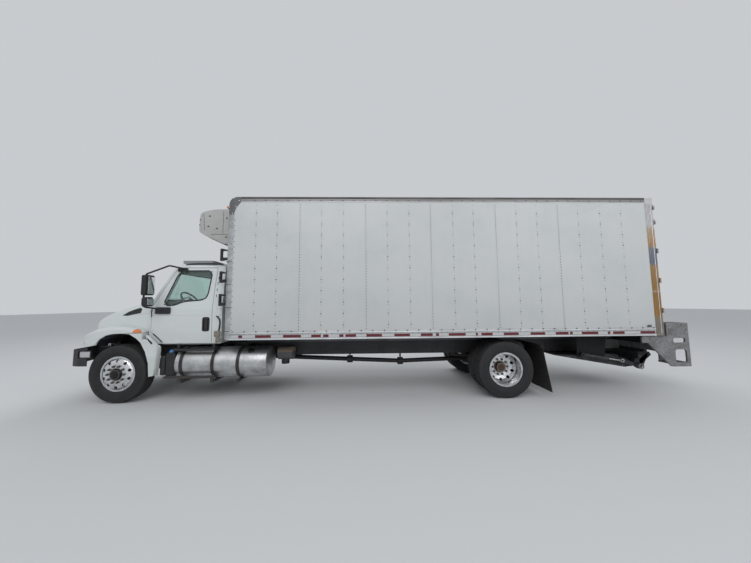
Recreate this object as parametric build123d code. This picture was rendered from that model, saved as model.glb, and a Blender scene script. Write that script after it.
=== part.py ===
from build123d import *
import math
import os

# Refrigerated truck: day cab, 26 ft insulated body, refrigeration unit and tuck-under liftgate.
# Millimetres. +X forward, +Y to the driver's left, +Z up, ground at z = 0.
# Lengths along X are counted from the front axle, and each piece is moved as it is written
# so that the origin lies on the ground at mid length and mid width.

# Overall sizes
wheelbase = 6911
front_overhang = 990
rear_overhang = 3380
overall_height = 3660
body_half_width = 1295
front_axle_x = (wheelbase + rear_overhang - front_overhang) / 2
rear_axle_x = -wheelbase

# Running clearances
pin_gap = 0.3
seat_gap = 0.3
panel_gap = 8

# Chassis
rail_outer_y = 432
rail_top = 945
rail_depth = 260
rail_flange = 77
rail_wall = 9
rail_front_x = 640
rail_rear_x = rear_axle_x - 2709
rail_bottom = rail_top - rail_depth
front_carrier_x = 0.5817 * rear_axle_x
rear_carrier_x = 0.742 * rear_axle_x

# Wheels and tyres
tyre_radius = 506
tyre_half_width = 137
axle_z = tyre_radius
bead_radius = 286
rim_half_width = 108
rim_wall = 14
hand_hole_circle = 228
hand_hole_radius = 27
front_wheel_y = 1003
dual_inner_y = 744
dual_outer_y = 1086
kingpin_y = 865
kingpin_radius = 25
spindle_radius = 42
tie_rod_x = -170
tie_rod_z = 445
ball_radius = 12

# Cab
cab_front_x = -438
cab_back_x = -1735
cab_floor = 1010
cab_belt = 1640
cab_top = 2495
cab_half_width = 1030
cab_top_half_width = 945
cab_wall = 60
cab_corner = 85
hinge_x = -440
hinge_y = 1035
hinge_pin_radius = 4.5

# Hood
hood_pivot_x = 885
hood_pivot_z = 900
hood_pin_radius = 12
hood_arm_inner_y = 310
hood_arm_outer_y = 334
horn_inner_y = 285
horn_outer_y = hood_arm_inner_y - 2
hood_wall = 24
arch_half_width = 1180
fender_split_x = -120
fender_split_z = 1218
bonnet_rear_half = 1000

# Insulated body
body_front_x = -1870
body_rear_x = rear_axle_x - 2884
body_bottom = 1093
side_rail_low = body_bottom + 153
floor_top = 1318
wall_thickness = 65
rail_cover = 5
post_width = 145
corner_radius = 150
door_hinge_x = body_rear_x - 13
door_hinge_y = body_half_width + 8

# Liftgate
gate_rear_x = rear_axle_x - rear_overhang
arm_pivot = (body_rear_x + 845, 690)
arm_tip = (body_rear_x + 95, 470)
barrel_pivot = (body_rear_x + 1235, 700)
arm_inner_y = 790
arm_outer_y = 850
hanger_y = 856
hanger_wall = 12
cylinder_y = 902
eye_pin_radius = 16
open_pivot_gap = 5.4


# Helpers for shapes that are drawn in one of the three main planes
def outline(points, radius=0):
    if isinstance(radius, (int, float)) and radius == 0:
        return make_face(Polyline(*points, close=True))
    return make_face(FilletPolyline(*points, radius=radius, close=True))


def block(x_low, x_high, y_low, y_high, z_low, z_high):
    middle = ((x_low + x_high) / 2, (y_low + y_high) / 2, (z_low + z_high) / 2)
    return Pos(*middle) * Box(x_high - x_low, y_high - y_low, z_high - z_low)


def side_slab(points, y_low, y_high, radius=0):
    plane = Plane(origin=(0, y_high, 0), x_dir=(1, 0, 0), z_dir=(0, -1, 0))
    return extrude(plane * outline(points, radius), amount=y_high - y_low)


def plan_slab(points, z_low, z_high, radius=0):
    return extrude(Pos(0, 0, z_low) * outline(points, radius), amount=z_high - z_low)


def front_slab(points, x_low, x_high, radius=0):
    plane = Plane(origin=(x_low, 0, 0), x_dir=(0, 1, 0), z_dir=(1, 0, 0))
    return extrude(plane * outline(points, radius), amount=x_high - x_low)


def rod(start, end, radius):
    along = Vector(*end) - Vector(*start)
    plane = Plane(origin=start, z_dir=along)
    return extrude(plane * Circle(radius), amount=along.length)


def tube(points, bend, radius):
    path = FilletPolyline(*points, radius=bend)
    start = path @ 0
    return sweep(Plane(origin=start, z_dir=path % 0) * Circle(radius), path=path)


def across(shape):
    return mirror(shape, about=Plane.XZ)


def both_sides(shapes):
    return shapes + [across(shape) for shape in shapes]


def write(name, shapes):
    os.makedirs("parts", exist_ok=True)
    if not isinstance(shapes, list):
        shapes = [shapes]
    solids = [solid for shape in shapes for solid in shape.solids()]
    placed = [Pos(front_axle_x, 0, 0) * solid for solid in solids]
    export_step(Compound(placed), f"parts/{name}.step")


# Chassis frame: two channel rails, and channel cross-members bolted between their webs
def chassis_frame():
    web_inner = rail_outer_y - rail_wall
    flange_inner = rail_outer_y - rail_flange
    channel = [
        (flange_inner, rail_bottom), (rail_outer_y, rail_bottom),
        (rail_outer_y, rail_top), (flange_inner, rail_top),
        (flange_inner, rail_top - rail_wall), (web_inner, rail_top - rail_wall),
        (web_inner, rail_bottom + rail_wall), (flange_inner, rail_bottom + rail_wall),
    ]
    rail = front_slab(channel, rail_rear_x, rail_front_x)
    for x in (-600, -1640):
        rail += block(x - 40, x + 40, flange_inner, rail_outer_y, rail_top, cab_floor - seat_gap)
    member_width = 70
    member_wall = 8
    member_half_length = web_inner - seat_gap
    member_low = rail_bottom + 20
    member_high = rail_top - 20
    behind_axle = [rear_axle_x + shift for shift in (561, -589, -1589)]
    members = []
    for x in [570, -1500, -2750, front_carrier_x, rear_carrier_x, *behind_axle, rail_rear_x + 50]:
        front = x + member_width / 2
        rear = x - member_width / 2
        section = [
            (rear, member_low), (front, member_low), (front, member_low + member_wall),
            (rear + member_wall, member_low + member_wall), (rear + member_wall, member_high - member_wall),
            (front, member_high - member_wall), (front, member_high), (rear, member_high),
        ]
        members.append(side_slab(section, -member_half_length, member_half_length))
    # The front cross-member carries the two horns that the hood tilts on
    horn = [(540, 730), (620, 730), (890, 850), (915, 885), (915, 915), (860, 925), (540, 900)]
    for side in (-1, 1):
        y_low, y_high = sorted((side * horn_inner_y, side * horn_outer_y))
        members[0] += side_slab(horn, y_low, y_high)
        members[0] += rod((hood_pivot_x, side * horn_inner_y, hood_pivot_z),
                          (hood_pivot_x, side * (hood_arm_outer_y + 4), hood_pivot_z), hood_pin_radius)
    return both_sides([rail]) + members


# Front bumper: one wrapped pressing with a lamp pocket in each corner
bumper_wall = 12
bumper_low = 660
tow_eye = (720, 516, 745)
tow_eye_radius = 22
tow_lug_height = 30
bumper_curve = [(990, 0), (970, 600), (850, 1050), (740, 1150), (640, 1180), (480, 1185)]


def wrapped_plan(curve, wall):
    left = list(curve)
    right = [(x, -y) for x, y in reversed(curve) if y > 0]
    inner_left = [(x - wall * 1.3, y - wall) if y > 0 else (x - wall * 1.3, 0) for x, y in curve]
    inner_left[-1] = (curve[-1][0], curve[-1][1] - wall)
    inner_right = [(x, -y) for x, y in reversed(inner_left) if y > 0]
    return right + left + inner_left[::-1] + inner_right[::-1]


def front_bumper():
    bar = plan_slab(wrapped_plan(bumper_curve, bumper_wall), bumper_low, 1005)
    side = [
        (480, bumper_low), (627, 615), (1000, 640), (1000, 930), (700, 945), (563, 980),
        (450, 1005), (400, 1005), (400, 760),
    ]
    bar = bar & side_slab(side, -1300, 1300)
    pocket = side_slab([(440, 794), (640, 794), (640, 921), (470, 921)], -1300, 1300, 25)
    bar = bar - pocket
    brackets = []
    for y in (rail_outer_y + seat_gap, -rail_outer_y - seat_gap - 40):
        brackets.append(block(500, 962, y, y + 40, 720, 900))
    # Each bracket carries a tow lug with an upright eye, open from below
    for side in (-1, 1):
        lug = Pos(tow_eye[0], side * tow_eye[1], tow_eye[2]) * Cylinder(tow_eye_radius + 22, tow_lug_height)
        y_low, y_high = sorted((side * (rail_outer_y + seat_gap + 30), side * tow_eye[1]))
        lug += block(tow_eye[0] - 44, tow_eye[0] + 44, y_low, y_high, tow_eye[2] - tow_lug_height / 2,
                     tow_eye[2] + tow_lug_height / 2)
        lug -= Pos(tow_eye[0], side * tow_eye[1], tow_eye[2]) * Cylinder(tow_eye_radius, 2 * tow_lug_height)
        brackets.append(lug)
    for bracket in brackets:
        bar += bracket
    return bar


# Front axle: dropped I-beam with a boss for each kingpin
def front_axle():
    beam = [
        (-kingpin_y + 38, 456), (-700, 456), (-600, 430), (600, 430), (700, 456), (kingpin_y - 38, 456),
        (kingpin_y - 38, 556), (560, 566), (-560, 566), (-kingpin_y + 38, 556),
    ]
    axle = front_slab(beam, -48, 48)
    for x_low, x_high in ((-60, -14), (14, 60)):
        axle -= front_slab([(-520, 465), (520, 465), (520, 535), (-520, 535)], x_low, x_high)
    for y in (-kingpin_y, kingpin_y):
        axle += Pos(0, y, axle_z) * Cylinder(46, 140)
    for y in (-kingpin_y, kingpin_y):
        axle -= Pos(0, y, axle_z) * Cylinder(kingpin_radius + pin_gap, 200)
    return axle


# Steering knuckles: forked arms round the kingpin, a spindle and a steering arm
def knuckle():
    fork = block(-50, 50, kingpin_y + 48, kingpin_y + 80, 395, 615)
    for z_low, z_high in ((395, 434), (576, 615)):
        fork += block(-46, 46, kingpin_y, kingpin_y + 60, z_low, z_high)
        fork += Pos(0, kingpin_y, (z_low + z_high) / 2) * Cylinder(46, z_high - z_low)
    fork += Pos(0, kingpin_y, axle_z) * Cylinder(kingpin_radius, 200)
    fork += rod((0, kingpin_y + 70, axle_z), (0, front_wheel_y + 105, axle_z), spindle_radius)
    arm_rear = tie_rod_x - 20
    fork += plan_slab([
        (30, kingpin_y + 25), (-60, kingpin_y + 25), (arm_rear, kingpin_y + 17), (arm_rear, kingpin_y - 17),
        (-60, kingpin_y - 25), (30, kingpin_y - 25),
    ], 395, 420)
    fork += Pos(tie_rod_x, kingpin_y, tie_rod_z - 5) * Cylinder(ball_radius, 50)
    return fork


def tie_rod():
    # The two steering arms are parallel and the rod is as long as the kingpins are apart
    bar = rod((tie_rod_x, -kingpin_y, tie_rod_z + 2), (tie_rod_x, kingpin_y, tie_rod_z + 2), 17)
    for y in (-kingpin_y, kingpin_y):
        bar += Pos(tie_rod_x, y, tie_rod_z) * Cylinder(28, 40)
    for y in (-kingpin_y, kingpin_y):
        bar -= Pos(tie_rod_x, y, tie_rod_z) * Cylinder(ball_radius + pin_gap, 80)
    return bar


# Wheels: every rim, hub and drum is turned from one section of polygons in (radius, offset outwards)
def turned(polygons, flip=1):
    plane = Plane(origin=(0, 0, 0), x_dir=(0, 0, 1), z_dir=(-1, 0, 0))
    section = Sketch()
    for points in polygons:
        section += make_face(Polyline(*[(radius, flip * offset) for radius, offset in points], close=True))
    return revolve(plane * section, axis=Axis((0, 0, 0), (0, 1, 0)), revolution_arc=360)


def ring_section(radius_low, radius_high, offset_low, offset_high):
    return [
        (radius_low, offset_low), (radius_high, offset_low), (radius_high, offset_high), (radius_low, offset_high),
    ]


def tyre(x, y):
    half = [
        (bead_radius + seat_gap, 93.2), (304, 99), (335, 124), (400, tyre_half_width), (462, 134),
        (492, 120), (503, 104), (tyre_radius, 84),
    ]
    section = half + [(radius, -offset) for radius, offset in reversed(half)]
    return Pos(x, y, axle_z) * turned([section])


def rim_section(face):
    # Barrel with two flanges, and the dished disc whose bolting ring lies beyond the barrel's edge
    inner = bead_radius - rim_wall
    flange = bead_radius + 17
    barrel = [
        (inner, -rim_half_width), (flange, -rim_half_width), (flange, -rim_half_width + 8),
        (bead_radius, -rim_half_width + 14), (bead_radius, rim_half_width - 14),
        (flange, rim_half_width - 8), (flange, rim_half_width), (inner, rim_half_width),
    ]
    disc = [
        (95, face - 22), (170, face - 22), (226, face - 38), (inner + 2, 66),
        (inner + 2, 94), (246, face - 22), (178, face), (95, face),
    ]
    return [barrel, disc]


def hand_holes(half_depth):
    holes = []
    for step in range(10):
        angle = math.radians(36 * step + 18)
        hole_x = hand_hole_circle * math.cos(angle)
        hole_z = hand_hole_circle * math.sin(angle)
        holes.append(rod((hole_x, -half_depth, hole_z), (hole_x, half_depth, hole_z), hand_hole_radius))
    return holes


def front_rim(side):
    face = 141
    bore = spindle_radius + pin_gap
    hub_end = 106
    rim_shape = turned(rim_section(face), side)
    for hole in hand_holes(200):
        rim_shape -= hole
    hub = turned([
        ring_section(bore, 82, -20, hub_end), ring_section(0, 82, hub_end, face + 30),
        ring_section(80, 150, face - 50, face - 20), ring_section(80, 200, 50, 66), ring_section(176, 200, -60, 66),
    ], side)
    return Pos(0, side * front_wheel_y, axle_z) * (rim_shape + hub)


def rear_rims(side):
    # Two rims back to back on one hub, with the brake drum inboard
    bore = spindle_radius + pin_gap
    middle = (dual_inner_y + dual_outer_y) / 2
    flange_half = 12
    face = middle - dual_inner_y - flange_half + 2
    outer = Pos(0, side * dual_outer_y, 0) * turned(rim_section(face), -side)
    inner = Pos(0, side * dual_inner_y, 0) * turned(rim_section(face), side)
    for hole in hand_holes(1400):
        outer -= hole
        inner -= hole
    hub = Pos(0, side * middle, 0) * turned([
        ring_section(bore, 82, -310, 70), ring_section(0, 82, 70, 95),
        ring_section(80, 150, -flange_half, flange_half),
        ring_section(80, 200, -110, -88), ring_section(176, 200, -330, -88),
    ], side)
    return Pos(rear_axle_x, 0, axle_z) * (outer + inner + hub)


# Rear axle: housing with a banjo and a spindle at each end
def rear_axle():
    axle = rod((rear_axle_x, -560, axle_z), (rear_axle_x, 560, axle_z), 72)
    axle += rod((rear_axle_x, -980, axle_z), (rear_axle_x, 980, axle_z), spindle_radius)
    axle += rod((rear_axle_x, -105, axle_z), (rear_axle_x, 105, axle_z), 205)
    cone = Plane(origin=(rear_axle_x + 100, 0, 500), z_dir=(1, 0, 0))
    axle += extrude(cone * Circle(130), amount=220, taper=12)
    return axle


# Leaf springs: one curved pack a side on each axle, with its two hanger brackets
def leaf_pack(x, seat_z, half_length, eye_z):
    y_low = rail_outer_y - rail_flange
    y_high = rail_outer_y
    thick_centre = 62
    low = ThreePointArc((x - half_length, eye_z - 14), (x, seat_z), (x + half_length, eye_z - 14))
    high = ThreePointArc((x + half_length, eye_z + 14), (x, seat_z + thick_centre), (x - half_length, eye_z + 14))
    face = make_face([
        low, Line(low @ 1, high @ 0), high, Line(high @ 1, low @ 0),
    ])
    plane = Plane(origin=(0, y_high, 0), x_dir=(1, 0, 0), z_dir=(0, -1, 0))
    pack = extrude(plane * face, amount=y_high - y_low)
    for end in (-half_length, half_length):
        pack += block(x + end - 30, x + end + 30, y_low, y_high, eye_z - 20, rail_bottom - seat_gap)
    clamp_low = seat_z - 6 if x == 0 else seat_z
    pack += block(x - 70, x + 70, y_low + 4, y_high - 4, clamp_low, seat_z + 30)
    return pack


def leaf_springs():
    front = leaf_pack(0, 572.3, 700, 640)
    rear = leaf_pack(rear_axle_x, 578.3, 720, 640)
    return both_sides([front, rear])


# Engine block with bell housing and gearbox, carried on four feet on the rails
def engine():
    block_solid = side_slab([
        (-350, 700), (420, 720), (520, 800), (520, 1180), (400, 1290), (-350, 1330),
    ], -300, 300, 30)
    bell = rod((-330, 0, 800), (-520, 0, 780), 210)
    box_solid = side_slab([(-500, 650), (-1150, 640), (-1280, 580), (-1280, 700), (-1150, 850), (-500, 930)], -150, 150)
    feet = block(60, 180, -rail_outer_y, rail_outer_y, rail_top + seat_gap, rail_top + 45)
    radiator = block(575, 640, -340, 340, 965, 1330)
    radiator += block(580, 635, -rail_outer_y, rail_outer_y, rail_top + seat_gap, 985)
    return [block_solid + bell + box_solid + feet, radiator]


# Drive shaft: three tubes with joints, hung at two carrier bearings
shaft_points = [(-1290, 640), (front_carrier_x, 504), (rear_carrier_x, 450), (rear_axle_x + 331, axle_z - 11)]


def drive_shaft():
    shaft = rod((-1280.3, 0, 640), (-1320, 0, 640), 60)
    for (x0, z0), (x1, z1) in zip(shaft_points, shaft_points[1:]):
        shaft += rod((x0, 0, z0), (x1, 0, z1), 46)
    for x, z in shaft_points[1:3]:
        shaft += rod((x - 60, 0, z), (x + 60, 0, z), 78)
        shaft += block(x - 12, x + 12, -70, 70, z, rail_bottom + 20 - seat_gap)
    return shaft


# Fuel tank with its straps, and what else hangs on the chassis
tank_x_front = -985
tank_x_rear = -2600
tank_y = 872
tank_z = 655
tank_radius = 276
strap_x = (-1102, -1652, -2095)


def fuel_tank():
    tank = rod((tank_x_rear, tank_y, tank_z), (tank_x_front, tank_y, tank_z), tank_radius)
    tank = fillet(tank.edges().filter_by(GeomType.CIRCLE), 24)
    return tank


def tank_straps():
    strap_half = 28
    straps = []
    for x in strap_x:
        ring = rod((x - strap_half, tank_y, tank_z), (x + strap_half, tank_y, tank_z), tank_radius + 9)
        ring += block(x - strap_half, x + strap_half, rail_outer_y + seat_gap, tank_y - 120, 340, rail_top - 10)
        ring += block(x - strap_half, x + strap_half, tank_y - 120, step_inner_y, 340, 374)
        hollow = rod((x - 60, tank_y, tank_z), (x + 60, tank_y, tank_z), tank_radius + seat_gap)
        straps.append(ring - hollow)
    return straps


def def_tank():
    tank = block(-977, -818, 560, 1100, 440, 870)
    tank = fillet(tank.edges().filter_by(Axis.Y), 50)
    tank += rod((-900, 1010, 860), (-900, 1030, 925), 34)
    tank += block(-940, -860, rail_outer_y + seat_gap, 600, 700, 800)
    return tank


# Cab steps: a lower tread on the strap brackets and an upper one hung from the cab floor
step_inner_y = 1112
step_outer_y = 1172


def cab_steps():
    lower = block(-1719, -833, step_inner_y, step_outer_y, 425, 462)
    for x in strap_x[:2]:
        lower += block(x - 25, x + 25, step_inner_y + seat_gap, step_inner_y + 30, 340, 430)
    upper = block(-1690, -968, 1062, 1150, 898, 932)
    for x in (-1010, -1640):
        upper += block(x - 20, x + 20, 1040, 1080, 898, cab_floor - seat_gap)
        upper += block(x - 20, x + 20, 940, 1080, cab_floor - 20, cab_floor - seat_gap)
    return [lower, upper]


def air_dryer():
    tank = rod((-2960, 640, 760), (-2670, 640, 760), 120)
    dryer = rod((-2800, 640, 560), (-2800, 640, 700), 75)
    bracket = block(-2880, -2720, rail_outer_y + seat_gap, 560, 720, 800)
    return tank + dryer + bracket


def battery_box():
    box = block(-1700, -985, -1130, -560, 470, 870)
    box = fillet(box.edges().filter_by(Axis.X), 30)
    box += block(-1500, -1180, -600, -rail_outer_y - seat_gap, 720, 820)
    for x in (-1600, -1100):
        box += block(x - 25, x + 25, -step_inner_y + seat_gap, -1000, 400, 500)
    return box


def exhaust():
    can = rod((-2780, -800, 640), (-1820, -800, 640), 190)
    can = fillet(can.edges().filter_by(GeomType.CIRCLE), 30)
    can += rod((-2400, -800, 640), (-3050, -800, 640), 55)
    can += block(-2300, -2200, -640, -rail_outer_y - seat_gap, 700, 800)
    can += block(-2000, -1900, -640, -rail_outer_y - seat_gap, 700, 800)
    return can


def mud_flaps():
    hanger_x = rear_axle_x - 644
    flap = side_slab([
        (hanger_x - 6, 930), (hanger_x + 6, 930), (hanger_x - 134, 110), (hanger_x - 146, 110),
    ], 640, 1255)
    flap += block(hanger_x - 20, hanger_x + 20, rail_outer_y + seat_gap, 1255, 900, 940)
    return both_sides([flap])


# Cab: the outer skin is one front profile along X, cut to the side profile
def cab_section(inset, x_low, x_high, below=0):
    half = cab_half_width - inset
    top_half = cab_top_half_width - inset
    low = cab_floor + inset - below
    profile = [
        (-half, low), (half, low), (half, cab_belt), (top_half, cab_top - inset), (-top_half, cab_top - inset),
        (-half, cab_belt),
    ]
    corner = cab_corner - inset
    radii = [10, 10, 200, corner, corner, 200]
    return front_slab(profile, x_low, x_high, radii)


def cab_body(inset):
    long_body = cab_section(inset, cab_back_x + inset, cab_front_x + 40 - inset)
    side = [
        (cab_back_x + inset, cab_floor + inset), (cab_front_x - inset, cab_floor + inset),
        (cab_front_x - inset, 1745 - inset / 3), (-795 - inset * 0.6, 2400 - inset / 3),
        (-900 - inset * 0.6, cab_top - inset), (cab_back_x + inset, cab_top - inset),
    ]
    side_radii = [20, 5, 60 - inset / 2, 60, 60, 60]
    return long_body & side_slab(side, -1200, 1200, side_radii)


# Door edge seen from the side, and the window in it
door_outline = [
    (-1559, 1016), (-682, 1016), (-472, 1226), (-462, 1660), (-512, 1765), (-858, 2408), (-1585, 2408),
    (-1562, 1986), (-1548, 1609),
]
window_outline = [
    (-662, 1712), (-850, 1712), (-1015, 1785), (-1375, 1812), (-1441, 1882), (-1491, 2345), (-980, 2345),
    (-884, 2300),
]


def grown(points, by):
    return offset(make_face(Polyline(*points, close=True)), amount=by, kind=Kind.INTERSECTION)


def side_prism(face, y_low, y_high):
    plane = Plane(origin=(0, y_high, 0), x_dir=(1, 0, 0), z_dir=(0, -1, 0))
    return extrude(plane * face, amount=y_high - y_low)


def side_layer(face, depth, proud=0):
    # What lies under a side outline, from the cab's side surface to a depth inside it
    prism = side_prism(face, 600, 1200)
    if proud:
        prism = prism & cab_section(-proud, cab_back_x - 50, cab_front_x + 50)
    return prism - cab_section(depth, cab_back_x - 60, cab_front_x + 60, 200)


# Cab door hinges: each has a barrel half on the door and one on the pillar, on one upright axis
door_hinge_heights = (1250, 1560)
door_hinge_height = 30


def door_hinge_barrel(low):
    return rod((hinge_x, hinge_y, low), (hinge_x, hinge_y, low + door_hinge_height - seat_gap), hinge_pin_radius)


def cab_shell():
    skin = cab_body(0) - cab_body(cab_wall)
    opening = side_layer(grown(door_outline, panel_gap), cab_wall)
    skin -= opening + across(opening)
    low_half = 900
    high_half = 830
    glass_opening = front_slab([
        (-low_half, 1800), (low_half, 1800), (high_half, 2335), (-high_half, 2335),
    ], -900, cab_front_x + 60, 60)
    limit = side_slab([(-300, 1700), (-300, 2600), (-940, 2420), (-640, 1700)], -1000, 1000)
    skin -= glass_opening & limit
    for z in door_hinge_heights:
        butt = door_hinge_barrel(z + door_hinge_height + seat_gap)
        butt += block(hinge_x, cab_front_x + 8, 1000, hinge_y + 2, z + door_hinge_height + seat_gap,
                      z + 2 * door_hinge_height)
        skin += butt + across(butt)
    return skin


def windshield():
    pane = cab_body(20) - cab_body(26)
    edge = seat_gap
    shape = front_slab([
        (-900 + edge, 1800 + edge), (900 - edge, 1800 + edge), (830 - edge, 2335 - edge), (-830 + edge, 2335 - edge),
    ], -900, cab_front_x + 60, 60 - edge)
    limit = side_slab([(-300, 1700), (-300, 2600), (-900, 2420), (-500, 1700)], -1000, 1000)
    return pane & shape & limit


door_depth = cab_wall - 6
handle_outline = [(-1516, 1225), (-1378, 1225), (-1378, 1490), (-1516, 1490)]
grip_outline = [(-1478, 1240), (-1416, 1240), (-1416, 1475), (-1478, 1475)]
handle_depth = 28


def cab_door():
    door = side_layer(grown(door_outline, 0), door_depth) & cab_body(0)
    door -= side_prism(grown(window_outline, 0), 600, 1200)
    door -= side_layer(outline(handle_outline, 50), handle_depth)
    door += side_layer(outline(grip_outline, 26), handle_depth + 2, 2)
    for z in door_hinge_heights:
        door += door_hinge_barrel(z)
        door += block(-520, -474, cab_half_width - 5, hinge_y + 2, z, z + door_hinge_height - seat_gap)
        door += block(-476, hinge_x, cab_half_width + 0.5, hinge_y + 2, z, z + door_hinge_height - seat_gap)
    return door


def door_glass():
    pane = side_layer(grown(window_outline, -0.5), 30) - side_layer(grown(window_outline, 10), 24)
    return pane & cab_body(20)


def dashboard():
    bulkhead_x = cab_front_x - cab_wall - seat_gap
    section = [(bulkhead_x, 1330), (-700, 1420), (-720, 1600), (-640, 1700), (bulkhead_x, 1720)]
    return side_slab(section, -880, 880, [5, 40, 40, 40, 5])


def steering_wheel():
    centre = (-800, 450, 1800)
    lean = Plane(origin=centre, x_dir=(0, 1, 0), z_dir=(-0.75, 0, 0.66))
    ring_wheel = lean * Torus(225, 16)
    hub = lean * Cylinder(60, 40)
    spoke = lean * Box(430, 30, 16)
    column = rod((-800 + 15, 450, 1800 - 13), (-655, 450, 1672), 28)
    return ring_wheel + hub + spoke + column - dashboard()


def seats():
    shapes = []
    for y in (450, -450):
        base = block(-1560, -1120, y - 200, y + 200, cab_floor + cab_wall + seat_gap, 1290)
        cushion = block(-1600, -1080, y - 250, y + 250, 1290, 1430)
        back = side_slab([(-1500, 1400), (-1370, 1400), (-1490, 2120), (-1610, 2120)], y - 245, y + 245, 25)
        rest = side_slab([(-1540, 2110), (-1480, 2110), (-1500, 2300), (-1590, 2300)], y - 130, y + 130, 20)
        shapes.append(base + cushion + back + rest)
    return shapes


# Mirror: a tube frame on a door pad with one flat and one convex head
def mirror_set():
    frame = tube([
        (-1000, 980, 2385), (-824, 1150, 2428), (-495, 1250, 2262), (-470, 1250, 1685), (-700, 1058, 1630),
    ], 55, 15)
    low_pad = [(-803, 1552), (-545, 1552), (-545, 1674), (-803, 1674)]
    high_pad = [(-1040, 2335), (-860, 2335), (-875, 2404), (-1040, 2404)]
    for pad in (low_pad, high_pad):
        frame += side_layer(outline(pad, 20), -seat_gap, 32)
    flat_head = block(-600, -520, 1185, 1370, 1885, 2240)
    flat_head = fillet(flat_head.edges().filter_by(Axis.X), 35)
    round_head = block(-600, -520, 1185, 1345, 1690, 1855)
    round_head = fillet(round_head.edges().filter_by(Axis.X), 45)
    link = block(-540, -462, 1225, 1262, 1750, 1780) + block(-540, -462, 1225, 1262, 2040, 2080)
    return frame + flat_head + round_head + link


# Hood: lofted bonnet and two flared fenders, hollow below
bonnet_sections = [
    # x, half width low, half width at the shoulder, shoulder height, crown height
    (-412, bonnet_rear_half, 880, 1712, 1768),
    (-29, 975, 860, 1694, 1752),
    (416, 915, 815, 1572, 1632),
    (700, 832, 752, 1450, 1500),
]
nose_sections = [
    (680, 838, 760, 1456, 1506),
    (905, 735, 640, 1345, 1395),
]
hood_low = 1012
nose_plan = [(880, 0), (862, 400), (800, 640), (735, 760)]
fender_plan = [(800, 640), (700, 1000), (640, 1100), (560, 1165), (460, 1180), (-850, 1180), (-850, 300), (800, 300)]


def bonnet_face(x, low_half, high_half, shoulder, crown, inset, bottom):
    low = low_half - inset
    high = high_half - inset
    bend = 90
    side_direction = (low_half - high_half) / (shoulder - hood_low)
    at_side = (low - side_direction * (shoulder - bend - hood_low), shoulder - bend - inset)
    at_top = (high - bend, shoulder + bend * 0.25 - inset)
    middle = ((at_side[0] + at_top[0]) / 2 + 20, (at_side[1] + at_top[1]) / 2 + 22)
    right_side, right_middle, right_top = [(-y, z) for y, z in (at_side, middle, at_top)]
    edges = [
        Line((-low, bottom), (low, bottom)),
        Line((low, bottom), at_side),
        ThreePointArc(at_side, middle, at_top),
        ThreePointArc(at_top, (0, crown - inset), right_top),
        ThreePointArc(right_top, right_middle, right_side),
        Line(right_side, (-low, bottom)),
    ]
    plane = Plane(origin=(x, 0, 0), x_dir=(0, 1, 0), z_dir=(1, 0, 0))
    return plane * make_face(edges)


def bonnet(inset, bottom, rear_shift=0, front_shift=0):
    faces = []
    for index, row in enumerate(bonnet_sections):
        x = row[0]
        if index == 0:
            x -= rear_shift
        if index == len(bonnet_sections) - 1:
            x -= front_shift
        faces.append(bonnet_face(x, *row[1:], inset, bottom))
    return loft(faces)


def nose(inset):
    left = [(x - inset, y) for x, y in nose_plan]
    outline_points = [(x, -y) for x, y in reversed(left) if y > 0] + left
    outline_points += [(690 - inset, 790 - inset), (690 - inset, -790 + inset)]
    body = plan_slab(outline_points, hood_low - (50 if inset else 0), 1520)
    top = side_slab([
        (600, 900), (900, 900), (900, 1290 - inset), (878, 1350 - inset), (820, 1430 - inset), (760, 1468 - inset),
        (700, 1500 - inset), (600, 1530 - inset),
    ], -900, 900)
    rounded = loft([bonnet_face(*row, inset, 900) for row in nose_sections])
    return body & top & rounded


arch_edge = [
    (370, 1024), (300, 1120), (200, 1185), (87, 1212), (-68, 1220), (-209, 1206), (-330, 1135), (-416, 1054),
    (-504, 894), (-566, 696), (-585, 467),
]
fender_top = [
    (900, 1012), (760, 1040), (705, 1085), (650, 1150), (560, 1207), (470, 1260), (385, 1298), (285, 1322),
    (100, 1345), (-120, 1335), (-300, 1295), (-440, 1225), (-463, 1215), (-690, 1000), (-715, 960), (-718, 891),
    (-712, 755), (-700, 600), (-686, 480),
]
# The fender's top edge drops towards its outer face: y, drop over the wheel, drop down the rear leg
fender_crown = [(1095, 0, 0), (1140, 12, 6), (1165, 30, 14), (arch_half_width, 56, 26)]
fender_flange_y = 1095


def door_sweep_relief():
    # The door's lower corner swings out over the fender, so the fender stays inside its cone
    low_radius = 23 + (1227 - 1000) - 14
    cone = Pos(hinge_x, hinge_y, 1000 + low_radius / 2) * Cone(low_radius, 0.5, low_radius)
    keep = block(hinge_x + 6, 1000, 900, 1300, 400, 1600)
    keep += block(-1000, 1000, 900, 1300, 300, 1000)
    return keep + cone


def fender_outline(drop_over, drop_leg):
    top = []
    for x, z in fender_top:
        drop = drop_over if x > -440 else drop_leg
        if x > 700:
            drop = 0
        share = 1 - drop / math.hypot(x, z - axle_z)
        top.append((x * share, axle_z + (z - axle_z) * share))
    return arch_edge[::-1] + [(400, hood_low)] + top


def fender_form():
    # Flat inboard of the crown, then one ruled band after another down to the outer face
    form = side_slab(fender_outline(0, 0), 700, fender_crown[0][0])
    for low, high in zip(fender_crown, fender_crown[1:]):
        bounds = []
        for y, drop_over, drop_leg in (low, high):
            plane = Plane(origin=(0, y, 0), x_dir=(1, 0, 0), z_dir=(0, -1, 0))
            bounds.append(plane * outline(fender_outline(drop_over, drop_leg)))
        form += loft(bounds, ruled=True)
    return form & plan_slab(fender_plan, 300, 1600)


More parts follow.
